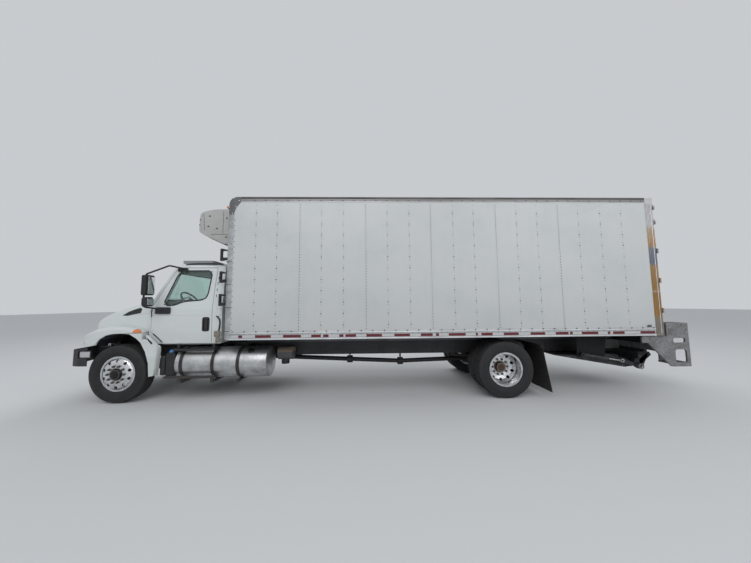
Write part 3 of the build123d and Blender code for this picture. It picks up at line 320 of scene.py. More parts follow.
old_iron = mottled("old_iron", (0.03, 0.026, 0.024), 0.75,
                   [(0.3, (0.012, 0.012, 0.013)), (0.55, (0.03, 0.024, 0.021)), (0.78, (0.09, 0.05, 0.03))],
                   9.0, 9.0, (180.0, 0.5, 0.0015), roughness=0.7)
coat_nodes(old_iron, "front_axle", "rear_axle", "leaf_springs", "knuckle_left", "knuckle_right", "tie_rod", "exhaust")

# Drive shaft: two painted steel tubes with joints, hung from a cross-member.
# Dust lies on the black paint.
dusty("shaft_paint", (0.014, 0.015, 0.018), 0.45, ((0.011, 0.012, 0.015), (0.05, 0.045, 0.04), 0.2, 0.9, 0.6, 6.0),
      (200.0, 0.3, 0.0008), "drive_shaft")

# Engine and radiator: cast block under a film of oil and dust.
# Only its outline shows through the arches and from below.
oily_casting = mottled("oily_casting", (0.05, 0.055, 0.06), 0.5,
                       [(0.35, (0.015, 0.015, 0.016)), (0.7, (0.07, 0.068, 0.064))],
                       5.0, 7.0, (140.0, 0.5, 0.002), metal=0.3, span=(0.35, 0.8))
coat_nodes(oily_casting, "engine")

# Air dryer: a small canister bracketed to the rail, tan on top and dark below.
# The can is painted, and its tray is bare black plastic.
dryer_can = finish_material("dryer_can", (0.2, 0.18, 0.15), 0.5)
dryer_bands = ramp_from(dryer_can, place_share(dryer_can, "Z", 0.56, 0.88),
                        [(0.0, (0.014, 0.014, 0.016)), (0.3, (0.02, 0.02, 0.022)), (0.33, (0.10, 0.105, 0.11)),
                         (0.72, (0.12, 0.12, 0.12)), (0.75, (0.30, 0.24, 0.17)), (1.0, (0.33, 0.27, 0.2))])
dryer_dust = combine(dryer_can, "MULTIPLY", texture(dryer_can, "Noise", 18.0, detail=6.0), 0.4)
colour_to(dryer_can, mix_colours(dryer_can, dryer_dust, dryer_bands, (0.03, 0.028, 0.026)))
grain(dryer_can, 220.0, 0.3, 0.0008)
coat_nodes(dryer_can, "air_dryer")

# Tyres: radial truck tyres of black rubber, moulded with ribs and shoulder notches.
# Each is turned from one section, then notched all round; the rear treads are notched as well.
rear_hub_low, rear_hub_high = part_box("rear_left_rims")
rear_axle_x = (rear_hub_low.x + rear_hub_high.x) / 2
axle_z = (front_hub_low.z + front_hub_high.z) / 2
front_axle = Vector((front_axle_x, 0, axle_z))
rear_axle = Vector((rear_axle_x, 0, axle_z))
tyre_steps = 96
front_tyre_y = 1003
rear_tyre_ys = (744, 1086)
tyre_half_section = [
    (0, 505), (19, 505), (21, 492), (28, 492), (30, 505), (50, 505), (65, 504), (67, 491), (74, 491), (76, 503),
    (90, 502), (105, 499), (116, 492), (121, 482), (126, 466), (130, 448), (134, 425), (136, 404), (136.5, 384),
    (135, 366), (133.5, 362), (134.5, 358), (133, 354), (130, 340), (126, 324), (124, 320), (125, 316), (121, 311),
    (113, 306.5), (100, 304.5), (93.6, 288), (86, 286.6),
]
tyre_bore = [(80, 292), (96, 314), (112, 332), (118, 360), (118, 410), (104, 455), (60, 474), (0, 478)]


def axle_distance(material, centre):
    """Distance from a wheel's axle, in metres, whatever the side of the truck."""
    nodes = material.node_tree.nodes
    place = nodes.new("ShaderNodeTexCoord")
    mapping = nodes.new("ShaderNodeMapping")
    mapping.inputs["Location"].default_value = -centre
    flat = nodes.new("ShaderNodeVectorMath")
    flat.operation = "MULTIPLY"
    flat.inputs[1].default_value = (1, 0, 1)
    length = nodes.new("ShaderNodeVectorMath")
    length.operation = "LENGTH"
    link_nodes(material, place.outputs["Object"], mapping.inputs["Vector"])
    link_nodes(material, mapping.outputs["Vector"], flat.inputs[0])
    link_nodes(material, flat.outputs["Vector"], length.inputs[0])
    return length.outputs["Value"]


def ring_relief(material, radius, pitch, strength, distance):
    """Fine rings round the axle, as a mould or a lathe leaves."""
    waves = combine(material, "SINE", combine(material, "MULTIPLY", radius, pitch))
    bump_from(material, waves, strength, distance)


def rubber_finish(name, centre):
    """Black rubber, worn grey on the tread and dusty, with fine rings on its walls."""
    rubber = finish_material(name, (0.02, 0.021, 0.023), 0.78)
    radius = axle_distance(rubber, centre)
    bands = ramp_from(rubber, radius, [(0.28, (0.018, 0.018, 0.019)), (0.33, (0.010, 0.011, 0.012)),
                                       (0.44, (0.012, 0.013, 0.014)), (0.495, (0.021, 0.021, 0.022)),
                                       (0.508, (0.017, 0.017, 0.018))])
    dust = texture(rubber, "Noise", 7.0, detail=8.0, roughness=0.7)
    dust_share = ramp_from(rubber, dust, [(0.42, 0.0), (0.75, 0.5)])
    colour_to(rubber, mix_colours(rubber, dust_share, bands, (0.036, 0.034, 0.032)))
    ring_relief(rubber, radius, 1250.0, 0.18, 0.0008)
    grain(rubber, 320.0, 0.25, 0.0008)
    return rubber


def turned(section, centre, axis, steps=48, side=upright):
    """Spins a closed section round an axis; its points are (along the axis, radius) in millimetres."""
    bpy.ops.object.select_all(action="DESELECT")
    bpy.ops.mesh.primitive_circle_add(vertices=len(section), radius=0.1)
    piece = bpy.context.object
    for vertex, (reach, radius) in zip(piece.data.vertices, section):
        vertex.co = centre + axis * (reach / 1000) + side * (radius / 1000)
    bpy.ops.object.mode_set(mode="EDIT")
    bpy.ops.mesh.select_all(action="SELECT")
    bpy.ops.mesh.spin(steps=steps, angle=2 * math.pi, center=centre, axis=axis)
    bpy.ops.mesh.select_all(action="SELECT")
    bpy.ops.mesh.remove_doubles(threshold=0.00002)
    bpy.ops.mesh.normals_make_consistent(inside=False)
    bpy.ops.object.mode_set(mode="OBJECT")
    return piece


def make_tyre(centre, lugs):
    """One tyre with notched shoulders; with lugs, its tread is notched as well."""
    loop = [(-y, r) for y, r in reversed(tyre_half_section[1:])] + tyre_half_section + tyre_bore
    loop += [(-y, r) for y, r in reversed(tyre_bore[:-1])]

    def is_notch(face):
        place = face.calc_center_median() - centre
        radius = math.hypot(place.x, place.z) * 1000
        turn = round(math.atan2(place.z, place.x) / (2 * math.pi) * tyre_steps - 0.5)
        out = abs(place.y) * 1000
        shoulder = radius > 490 and 105 < out < 118 and turn % 2 == 0
        rib = lugs and radius > 496 and 76 < out < 105 and turn % 2 == (0 if place.y > 0 else 1)
        middle = lugs and radius > 500 and 30 < out < 66 and turn % 4 == (1 if out < 50 else 3)
        return shoulder or rib or middle

    return smooth_by(inset_faces(turned(loop, centre, across, tyre_steps), is_notch, (4, -9), apart=True), 32)


front_rubber = rubber_finish("front_tyre_rubber", front_axle)
rear_rubber = rubber_finish("rear_tyre_rubber", rear_axle)
for side, sign in both_sides:
    front = make_tyre(at(0, sign * front_tyre_y, 0) + Vector((0, 0, axle_z)), False)
    settle(front, f"front_{side}_radial", front_rubber, f"front_{side}_wheel")
    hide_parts(f"front_{side}_tyre")
    pair = [make_tyre(Vector((rear_axle_x, sign * y / 1000, axle_z)), True) for y in rear_tyre_ys]
    rear = settle(pair, f"rear_{side}_radials", rear_rubber, f"rear_{side}_wheels")
    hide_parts(f"rear_{side}_tyres")

# Rims: forged aluminium discs, polished, on iron hubs.
# Brake dust has settled in the recesses and round the hand holes.
for name, centre, rims in (("front", front_axle, ("front_left_rim", "front_right_rim")),
                           ("rear", rear_axle, ("rear_left_rims", "rear_right_rims"))):
    alloy = finish_material(f"{name}_polished_alloy", (0.72, 0.73, 0.74), 0.22, 1.0)
    radius = axle_distance(alloy, centre)
    bright = ramp_from(alloy, radius, [(0.0, (0.10, 0.085, 0.075)), (0.105, (0.22, 0.2, 0.18)),
                                       (0.125, (0.66, 0.67, 0.68)), (0.24, (0.82, 0.83, 0.84)),
                                       (0.275, (0.60, 0.61, 0.62)), (0.31, (0.8, 0.81, 0.82))])
    stain = texture(alloy, "Noise", 14.0, detail=8.0, roughness=0.7)
    stain_share = ramp_from(alloy, stain, [(0.45, 0.0), (0.8, 0.6)])
    colour_to(alloy, mix_colours(alloy, stain_share, bright, (0.22, 0.2, 0.18)))
    rough_to(alloy, stain, 0.12, 0.42)
    ring_relief(alloy, radius, 5200.0, 0.06, 0.0002)
    coat_nodes(alloy, *rims)

# Lug nuts: ten flanged nuts on each wheel's bolt circle, with the stud ends showing.
# Bright steel, browned at the threads.
nut_steel = mottled("nut_steel", (0.34, 0.33, 0.32), 0.38, [(0.35, (0.20, 0.195, 0.19)), (0.7, (0.06, 0.045, 0.035))],
                    60.0, 5.0, metal=0.9, span=(0.25, 0.7))
nut_circle = 142.5
nut_count = 10


def round_axle(centre, count, start=0.0):
    """Moves that set copies evenly round a wheel's axle."""
    turns = [Matrix.Rotation(2 * math.pi * (number + start) / count, 4, "Y") for number in range(count)]
    return [Matrix.Translation(centre) @ turn @ Matrix.Translation(-centre) for turn in turns]


def make_nut(centre, outward):
    """A flanged nut with the end of its stud."""
    collar = stud(centre, outward, 21, 5, 16, 0.12)
    hexagon = stud(centre + outward * 0.004, outward, 17, 22, 6, 0.14)
    thread = stud(centre + outward * 0.024, outward, 10, 14, 12, 0.2)
    return join_pieces([collar, hexagon, thread])


for wheel, axle_x, face_y, plural in (("front", front_axle_x, 1144, ""), ("rear", rear_axle_x, 947, "s")):
    for side, sign in both_sides:
        centre = Vector((axle_x, sign * face_y / 1000, axle_z))
        nut = make_nut(centre + upright * (nut_circle / 1000), across * sign)
        settle(set_out(nut, round_axle(centre, nut_count, 0.5)), f"{wheel}_{side}_lug_nuts", nut_steel,
               f"{wheel}_{side}_wheel{plural}")

# Hub covers: a black moulded cap over the front hubs and a rusty drive flange at the rear.
# The caps clip over the nuts' centre; eight studs hold each drive flange.
cap_black = mottled("cap_black", (0.006, 0.006, 0.007), 0.36,
                    [(0.4, (0.005, 0.005, 0.006)), (0.8, (0.022, 0.021, 0.020))],
                    25.0, 6.0, (300.0, 0.2, 0.0005), more={"Specular IOR Level": 0.3})
hub_rust = finish_material("hub_rust", (0.08, 0.045, 0.03), 0.8, 0.2)
hub_scale = texture(hub_rust, "Noise", 45.0, detail=8.0, roughness=0.7)
colour_to(hub_rust, ramp_from(hub_rust, hub_scale, [(0.3, (0.03, 0.022, 0.02)), (0.55, (0.09, 0.05, 0.033)),
                                                    (0.8, (0.17, 0.095, 0.055))]))
bump_from(hub_rust, hub_scale, 0.6, 0.001)
cap_y = 1144.5
flange_y = 947.5
flange_bolt_circle = 80
flange_bolt_count = 8
cap_section = [(0, 0), (0, 100), (8, 101), (14, 97), (22, 88), (27, 84), (33, 60), (36, 30), (36, 0)]
flange_section = [(0, 0), (0, 96), (10, 96), (14, 92), (16, 70), (26, 66), (66, 60), (70, 52), (71, 0)]
for side, sign in both_sides:
    outward = across * sign
    cap = turned(cap_section, Vector((front_axle_x, sign * cap_y / 1000, axle_z)), outward, 40)
    settle(cap, f"front_{side}_hub_cap", cap_black, f"front_{side}_wheel", 30)
    centre = Vector((rear_axle_x, sign * flange_y / 1000, axle_z))
    flange = smooth_by(turned(flange_section, centre, outward, 40), 30)
    bolt = stud(centre + outward * 0.012 + upright * (flange_bolt_circle / 1000), outward, 9, 12)
    bolts = set_out(bolt, round_axle(centre, flange_bolt_count))
    settle([flange, bolts], f"rear_{side}_drive_flange", hub_rust, f"rear_{side}_wheels")

# Cab and hood: pressed aluminium and moulded panels in white paint.
# Road film greys the paint low down and behind the wheels; the paint has a light orange peel.
cab_white = dusty("cab_white", (0.60, 0.635, 0.63), 0.28, ((0.615, 0.65, 0.645), (0.33, 0.325, 0.30), 0.3, 1.75, 0.5),
                  (420.0, 0.12, 0.0003), "cab_shell", "hood", "fender_extensions", "cab_door_left", "cab_door_right")
rough_to(cab_white, texture(cab_white, "Noise", 3.0, (2.2, 2.2, 0.35), detail=8.0, roughness=0.7), 0.18, 0.46)
bump_from(cab_white, texture(cab_white, "Noise", 2.5, detail=2.0), 0.25, 0.006)
for node in ("hood", "fender_extensions", "cab_shell"):
    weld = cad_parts[node].modifiers.new("joined_skin", "WELD")
    weld.merge_threshold = 0.00005

# Black fittings: bumper, grille, mirrors and access steps in grained plastic, straps and cab steps in paint,
# and rubber mud flaps. Dust sits in the grain, and is heaviest low down.
black_trim = dusty("black_trim", (0.018, 0.019, 0.021), 0.5,
                   ((0.008, 0.0085, 0.010), (0.06, 0.056, 0.052), 0.1, 2.6, 0.4, 5.0), (520.0, 0.45, 0.0006),
                   "mirror_left", "mirror_right", "access_steps", "def_tank")
bumper_black = dusty("bumper_black", (0.022, 0.024, 0.027), 0.42,
                     ((0.009, 0.011, 0.014), (0.06, 0.058, 0.055), 0.5, 1.15, 0.5, 4.0), (380.0, 0.4, 0.0008),
                     "front_bumper", "grille")
strap_black = dusty("strap_black", (0.015, 0.015, 0.017), 0.4,
                    ((0.013, 0.013, 0.015), (0.09, 0.075, 0.06), 0.2, 1.1, 0.6, 8.0), (300.0, 0.25, 0.0005),
                    "tank_straps", "battery_box", "cab_steps")
flap_rubber = finish_material("flap_rubber", (0.012, 0.012, 0.013), 0.85)
grime(flap_rubber, (0.010, 0.010, 0.011), (0.07, 0.062, 0.055), 0.0, 0.8, 0.6, 6.0)
bump_from(flap_rubber, texture(flap_rubber, "Wave", 14.0, (0, 1, 0), bands_direction="Y"), 0.3, 0.002)
coat_nodes(flap_rubber, "mud_flaps")

# Bumper lamps: a pale clear lens over a bowl in each bumper pocket.
# Each has a narrow black rim and screws to the pocket's back.


def moulded_lens(name, colour, rough, coat, tones, relief, *pattern, output="Fac", **settings):
    """A coated lens with prisms or flutes that carry its tones and its relief."""
    made = finish_material(name, colour, rough, more={"Coat Weight": coat})
    prisms = texture(made, *pattern, output=output, **settings)
    colour_to(made, ramp_from(made, prisms, tones))
    bump_from(made, prisms, *relief)
    return made


def block_between(low, high, bevel=0.0, segments=2):
    """A block between two corners in the scene, its edges rounded in edit mode."""
    bpy.ops.object.select_all(action="DESELECT")
    bpy.ops.mesh.primitive_cube_add(size=1, location=(low + high) / 2)
    piece = bpy.context.object
    piece.scale = high - low
    bpy.ops.object.transform_apply(location=True, rotation=True, scale=True)
    if bevel:
        bpy.ops.object.mode_set(mode="EDIT")
        bpy.ops.mesh.select_all(action="SELECT")
        bpy.ops.mesh.bevel(offset=bevel / 1000, segments=segments, affect="EDGES")
        bpy.ops.object.mode_set(mode="OBJECT")
    return piece


def slab(x_span, y_span, z_span, bevel=0.0, segments=2, sign=1):
    """A block over spans in millimetres, as at() gives them; sign -1 mirrors it to the right."""
    y_low, y_high = sorted((sign * y_span[0], sign * y_span[1]))
    return block_between(at(x_span[0], y_low, z_span[0]), at(x_span[1], y_high, z_span[1]), bevel, segments)


clear_lens = moulded_lens("clear_lens", (0.42, 0.43, 0.44), 0.12, 0.8,
                          [(0.0, (0.32, 0.33, 0.345)), (1.0, (0.52, 0.53, 0.54))],
                          (0.3, 0.002), "Wave", 18.0, bands_direction="Z")
for side, sign in both_sides:
    lens = slab((462, 632), (1118, 1166), (803, 912), 16, 3, sign)
    settle(lens, f"bumper_lamp_{side}", clear_lens, smooth=35)
    bezel = slab((448, 638), (1108, 1150), (796, 919), 8, 2, sign)
    settle(bezel, f"bumper_lamp_bezel_{side}", bumper_black)

# Headlamps: clear moulded lenses set flush in the fenders, over bright reflectors.
# Each lens is lightly fluted, and the bowls behind it show as soft dark cells.
headlamp_lens = finish_material("headlamp_lens", (0.62, 0.62, 0.58), 0.06,
                                more={"Coat Weight": 1.0, "Transmission Weight": 0.35})
bowls = texture(headlamp_lens, "Voronoi", 11.0, output="Distance", feature="SMOOTH_F1")
colour_to(headlamp_lens, ramp_from(headlamp_lens, bowls, [(0.1, (0.85, 0.84, 0.8)), (0.5, (0.5, 0.5, 0.48)),
                                                          (0.75, (0.2, 0.2, 0.2))]))
bump_from(headlamp_lens, texture(headlamp_lens, "Wave", 30.0, bands_direction="Y"), 0.2, 0.001)
coat_nodes(headlamp_lens, "headlamps")

# Hood trim: a black vent blade on each side under a pressed crease, an amber side marker, a black plate at the cowl
# painted as the shade in the gap there, and a white filler. The vent clips into the panel, and the marker screws to
# the fender.
beside = 2500


def first_hit(node, start, direction):
    """Where a straight line first meets a CAD node's surface, or None."""
    found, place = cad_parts[node].ray_cast(start, direction)[:2]
    return place if found else None


def side_hits(node, points, sign=1, lift=0.0):
    """Where lines from beside the truck, at each (x, z), first meet a node, raised by lift millimetres."""
    hits = [first_hit(node, at(x, sign * beside, z), -across * sign) for x, z in points]
    return [place + across * sign * (lift / 1000) for place in hits if place is not None]


def bead(places, radius, closed=False, sides=3):
    """A round strip, such as a seal, seam or hose, laid along places in the scene."""
    curve = bpy.data.curves.new("bead", "CURVE")
    curve.dimensions = "3D"
    curve.bevel_depth = radius / 1000
    curve.bevel_resolution = sides
    curve.use_fill_caps = True
    spline = curve.splines.new("POLY")
    spline.points.add(len(places) - 1)
    for point, place in zip(spline.points, places):
        point.co = (*place, 1)
    spline.use_cyclic_u = closed
    piece = bpy.data.objects.new("bead", curve)
    bpy.context.collection.objects.link(piece)
    choose(piece)
    bpy.ops.object.convert(target="MESH")
    return smooth_by(bpy.context.object, 40)


def thickened(piece, reach, bevel=0.0):
    """Extrudes a flat piece across the truck by reach millimetres, and eases its edges."""
    bpy.ops.object.mode_set(mode="EDIT")
    bpy.ops.mesh.select_all(action="SELECT")
    bpy.ops.mesh.extrude_region_move(TRANSFORM_OT_translate={"value": (0, reach / 1000, 0)})
    bpy.ops.mesh.select_all(action="SELECT")
    bpy.ops.mesh.normals_make_consistent(inside=False)
    if bevel:
        bpy.ops.mesh.bevel(offset=bevel / 1000, segments=2, affect="EDGES")
    bpy.ops.object.mode_set(mode="OBJECT")
    return piece


def prism(profile, y_from, y_to, bevel):
    """A solid with the given side profile between two widths."""
    bpy.ops.object.select_all(action="DESELECT")
    bpy.ops.mesh.primitive_circle_add(vertices=len(profile), radius=0.1, fill_type="NGON")
    piece = bpy.context.object
    for vertex, (x, z) in zip(piece.data.vertices, profile):
        vertex.co = at(x, y_from, z)
    return thickened(piece, y_to - y_from, bevel)


def plate_on(node, outline, sign, thickness, cuts, plane=None):
    """A thin plate with an outline in x and z, laid on a node's side as seen from beside it.

    With a plane, the outline stands that many millimetres out, and lines from the camera carry
    it onto the node; the right side mirrors the left.
    """
    bpy.ops.object.select_all(action="DESELECT")
    bpy.ops.mesh.primitive_circle_add(vertices=len(outline), radius=0.1, fill_type="TRIFAN")
    piece = bpy.context.object
    middle = tuple(sum(point[axis] for point in outline) / len(outline) for axis in (0, 1))
    corners = iter(outline)
    for vertex in piece.data.vertices:
        x, z = next(corners) if vertex.co.length > 0.05 else middle
        vertex.co = at(x, sign * (plane or 1000), z)
    bpy.ops.object.mode_set(mode="EDIT")
    bpy.ops.mesh.select_all(action="SELECT")
    bpy.ops.mesh.subdivide(number_cuts=cuts)
    bpy.ops.object.mode_set(mode="OBJECT")
    eye = Vector((camera.location.x, sign * camera.location.y, camera.location.z))
    for vertex in piece.data.vertices:
        start, way = Vector((vertex.co.x, sign * beside / 1000, vertex.co.z)), -across * sign
        if plane:
            start, way = eye, (vertex.co - eye).normalized()
        place = first_hit(node, start, way)
        if place is not None:
            vertex.co = place
    return smooth_by(thickened(piece, sign * thickness), 35)


rubber_black = mottled("rubber_black", (0.012, 0.012, 0.013), 0.6,
                       [(0.4, (0.009, 0.009, 0.010)), (0.8, (0.03, 0.03, 0.03))], 40.0, 6.0, (400.0, 0.3, 0.0004))
amber_lens = moulded_lens("amber_lens", (0.75, 0.19, 0.03), 0.15, 0.7,
                          [(0.0, (0.55, 0.11, 0.02)), (1.0, (0.82, 0.25, 0.05))],
                          (0.3, 0.001), "Wave", 40.0, bands_direction="X")
vent_outline = [(-8, 1532), (-114, 1598), (-212, 1635), (-313, 1668), (-348, 1648), (-327, 1574), (-218, 1552),
                (-98, 1526)]
marker_outline = [(-268, 1230), (-278, 1258), (-306, 1284), (-345, 1296), (-384, 1288), (-414, 1262), (-424, 1230)]
gap_shade_outline = [(-485, 1143), (-515, 1110), (-545, 1081), (-585, 1049), (-583, 1025), (-562, 1021), (-532, 1053),
                (-502, 1092)]
filler_outline = [(-420, 1184), (-455, 1176), (-498, 1152), (-524, 1124), (-532, 1079), (-432, 1073)]
crease_line = ((10, 1530), (-90, 1546), (-180, 1556), (-240, 1562), (-395, 1566))
for side, sign in both_sides:
    vent = plate_on("hood", vent_outline, sign, 3, 3, 1100)
    settle(vent, f"hood_vent_{side}", rubber_black, "hood")
    settle(bead(side_hits("hood", crease_line, sign, 1), 5), f"hood_crease_{side}", cab_white, "hood")
    marker = plate_on("hood", marker_outline, sign, 14, 2, 1170)
    settle(marker, f"side_marker_{side}", amber_lens, "hood")
    # A thin black plate in the gap at the cowl, painted as the shade there.
    gap_shade = plate_on("fender_extensions", gap_shade_outline, sign, 2.5, 2, 1130)
    settle(gap_shade, f"cowl_gap_shade_{side}", rubber_black)
    filler = prism(filler_outline, sign * 1066, sign * 1092, 4)
    settle(filler, f"cowl_filler_{side}", cab_white)

# Door fittings: a black paddle handle in its cup, a window seal, black beads painted as the shade in the gaps
# along the door's front edge and lower front corner, and a rolled crease below the window.
# The cup and paddle are moulded, and the window seal is soft black rubber.
window_outline = [(-662, 1712), (-850, 1712), (-1015, 1785), (-1375, 1812), (-1441, 1882), (-1491, 2345),
                  (-980, 2345), (-884, 2300)]
door_gap_shade_lines = (("front", [(-466, 1700), (-466, 1290)]), ("corner", [(-512, 1196), (-600, 1122), (-684, 1040)]))


def softened(points, rounds=2, closed=True, reach=45):
    """Cuts an outline's corners again and again, which rounds them."""
    for step in range(rounds):
        cut = [] if closed else [points[0]]
        for number in range(len(points) if closed else len(points) - 1):
            first = points[number]
            second = points[(number + 1) % len(points)]
            share = min(0.28, reach / (step + 1) / math.dist(first, second))
            cut.append(tuple(a + (b - a) * share for a, b in zip(first, second)))
            cut.append(tuple(b + (a - b) * share for a, b in zip(first, second)))
        points = cut if closed else cut + [points[-1]]
    return points


def divided(points, step, closed=True):
    """Extra points along an outline, so that it can follow a curved skin."""
    made = []
    for number in range(len(points) if closed else len(points) - 1):
        first = points[number]
        second = points[(number + 1) % len(points)]
        parts = max(1, int(math.dist(first, second) / step))
        for share in (part / parts for part in range(parts)):
            made.append(tuple(a + (b - a) * share for a, b in zip(first, second)))
    return made if closed else made + [points[-1]]


def grown_outline(points, by):
    """A clockwise or anticlockwise outline moved outwards by an even amount."""
    nexts = points[1:] + points[:1]
    area = sum(x * next_z - next_x * z for (x, z), (next_x, next_z) in zip(points, nexts))
    way = 1 if area > 0 else -1
    made = []
    for number, (here, after) in enumerate(zip(points, nexts)):
        first = (Vector(here) - Vector(points[number - 1])).normalized()
        second = (Vector(after) - Vector(here)).normalized()
        turn = Vector((first.y + second.y, -first.x - second.x)).normalized() * way
        made.append(tuple(Vector(here) + turn * by))
    return made


for side, sign in both_sides:
    door = f"cab_door_{side}"
    rim = side_hits(door, divided(grown_outline(softened(window_outline), 9), 60), sign)
    settle(bead(rim, 11, closed=True), f"window_seal_{side}", rubber_black, door)
    cup = slab((-1512, -1382), (1004, 1033), (1229, 1486), 9, 3, sign)
    inset_faces(cup, lambda face: face.normal.y * sign > 0.99 and face.calc_area() > 0.01, (10, 0), (8, -20))
    paddle = slab((-1482, -1412), (1002, 1037), (1242, 1474), 12, 3, sign)
    settle([cup, paddle], f"door_handle_{side}", black_trim, door)
    crease = side_hits(door, [(x, 1530) for x in range(-500, -1541, -80)], sign)
    settle(bead(crease, 4), f"door_crease_{side}", cab_white, door)
    # Black beads on the door's front edge and lower front corner, painted as the shade in the gaps there.
    for label, line in door_gap_shade_lines:
        edge = bead(side_hits(door, divided(line, 40, closed=False), sign), 9)
        settle(edge, f"door_{label}_seal_{side}", rubber_black, door)

# Glass: green-tinted laminated windscreen and tempered door glass.
# Both are bedded in black rubber.
tinted_glass = mottled("tinted_glass", (0.74, 0.88, 0.84), 0.02,
                       [(0.3, (0.70, 0.86, 0.815)), (0.7, (0.78, 0.91, 0.875))],
                       3.0, 6.0, span=(0.01, 0.06), more={"Transmission Weight": 0.97})
coat_nodes(tinted_glass, "windshield", "door_glass_left", "door_glass_right")
screen_edge = [(-888, 1812), (0, 1812), (888, 1812), (818, 2325), (0, 2325), (-818, 2325)]
ahead = 900
places = []
for y, z in divided(softened(screen_edge), 70):
    place = first_hit("windshield", at(ahead, y, z), -along)
    places.append(place if place is not None else first_hit("cab_shell", at(ahead, y, z), -along))
settle(bead(places, 12, closed=True), "windscreen_seal", rubber_black)

# Wipers: two black arms with rubber blades, parked along the windscreen's lower edge.
# Each arm turns on a spindle in the cowl.
screen_foot = 1815
for name, start_y, end_y in (("left", 700, 60), ("right", 40, -600)):
    arm_places = []
    for share in (0, 0.25, 0.5, 0.75, 1):
        y = start_y + (end_y - start_y) * share
        z = 1770 + 130 * share
        place = first_hit("windshield", at(ahead, y, max(z, screen_foot)), -along)
        if place is None:
            place = at(-470, y, z)
        arm_places.append(place + Vector((0.022, 0, min(0, (z - screen_foot) / 1000))))
    blade_places = [place + Vector((-0.008, 0, -0.02)) for place in arm_places[1:]]
    settle([bead(arm_places, 6), bead(blade_places, 7)], f"wiper_{name}", rubber_black)

# Cab back and sill: service fittings behind the door, and a grey step sill along the cab's foot.
# A hose drops from a pale connector plate to two small boxes bolted on the corner.
sill_grey = dusty("sill_grey", (0.28, 0.29, 0.3), 0.45,
                  ((0.30, 0.31, 0.32), (0.13, 0.125, 0.115), 0.5, 1.5, 0.7, 6.0), (300.0, 0.3, 0.0005), metal=0.3)
tan_box = dusty("tan_box", (0.22, 0.2, 0.17), 0.6, ((0.24, 0.22, 0.19), (0.10, 0.09, 0.08), 0.9, 1.6, 0.8, 14.0),
                (250.0, 0.4, 0.0008))
for side, sign in both_sides:
    sill = slab((-1720, -700), (985, 1034), (1003, 1012), 3, 2, sign)
    settle(sill, f"cab_sill_{side}", sill_grey)
clips = []
for x, z in ((-1628, 2300), (-1622, 2215), (-1616, 2110), (-1611, 1990), (-1606, 1880)):
    clips.append(plate_on("cab_shell", [(x - 5, z - 26), (x + 4, z - 26), (x + 5, z + 26), (x - 4, z + 26)], 1, 3, 1))
settle(clips, "cab_rear_clips", rubber_black)
connector = plate_on("cab_shell", softened([(-1640, 1505), (-1720, 1505), (-1720, 1640), (-1640, 1640)]), 1, 10, 2)
settle(connector, "connector_plate", cab_white)
hose_line = ((-1640, 1500), (-1668, 1486), (-1700, 1440), (-1708, 1380), (-1702, 1300), (-1690, 1236))
hose = bead(side_hits("cab_shell", hose_line, 1, 10), 13, sides=4)
settle(hose, "cab_side_hose", rubber_black)
boxes = []
for x_low, x_high, z_low, z_high, depth in ((-1722, -1612, 1130, 1232, 26), (-1728, -1640, 1030, 1118, 22)):
    skin_y = side_hits("cab_shell", [((x_low + x_high) / 2, (z_low + z_high) / 2)])[0].y
    low = Vector((at(x_low, 0, 0).x, skin_y - 0.012, z_low / 1000))
    high = Vector((at(x_high, 0, 0).x, skin_y + depth / 1000, z_high / 1000))
    boxes.append(block_between(low, high, 8, 2))
    for x, z in ((x_low + 18, z_low + 16), (x_high - 18, z_high - 16)):
        boxes.append(stud(Vector((at(x, 0, 0).x, skin_y + depth / 1000, z / 1000)), across, 7, 5))
settle(boxes, "cab_corner_boxes", tan_box)

# Roof edge: a rain gutter above each door, a black bead painted as the shadow under the roof's overhang, the grey
# deflector plate on the roof and the body's corner caps. The plate and the caps are grained mouldings.
dusty("grey_moulding", (0.10, 0.106, 0.115), 0.5, ((0.095, 0.101, 0.11), (0.17, 0.17, 0.165), 1.0, 4.5, 0.7, 3.0),
      (300.0, 0.4, 0.0008), "corner_caps")
dusty("deflector_grey", (0.22, 0.235, 0.25), 0.45, ((0.21, 0.225, 0.24), (0.32, 0.32, 0.31), 1.0, 4.5, 0.7, 3.0),
      (260.0, 0.3, 0.0006), "roof_deflector")
gutter_shadow_line = ((-980, 936, 2470), (-1050, 938, 2480), (-1300, 939, 2484), (-1650, 939, 2480), (-1690, 938, 2466))
for side, sign in both_sides:
    # A black bead along the gutter, painted as the shadow under the roof's overhang.
    gutter_shadow = bead([at(x, sign * y, z) for x, y, z in gutter_shadow_line], 9)
    settle(gutter_shadow, f"roof_gutter_shadow_{side}", rubber_black)

# Cab inside: a moulded dark dashboard with an instrument hood and vents, and the steering wheel.
# The dash clips to the bulkhead; the wheel is one pebbled moulding on its column.
dash_plastic = mottled("dash_plastic", (0.03, 0.031, 0.034), 0.6,
                       [(0.3, (0.022, 0.023, 0.026)), (0.75, (0.05, 0.05, 0.052))], 5.0, 5.0)
bump_from(dash_plastic, texture(dash_plastic, "Voronoi", 420.0, output="Distance"), 0.5, 0.0006)
coat_nodes(dash_plastic, "dashboard", "steering_wheel")
hood_block = slab((-716, -560), (230, 670), (1655, 1745), 30, 4)
settle(hood_block, "instrument_hood", dash_plastic, smooth=40)
vents = []
for y in (-560, -260, 0, 760):
    vents.append(slab((-728, -700), (y - 60, y + 60), (1560, 1625), 6, 2))
    for z in range(1568, 1611, 14):
        vents.append(slab((-732, -716), (y - 52, y + 52), (z, z + 4), 1.5, 1))
settle(vents, "dash_vents", rubber_black)

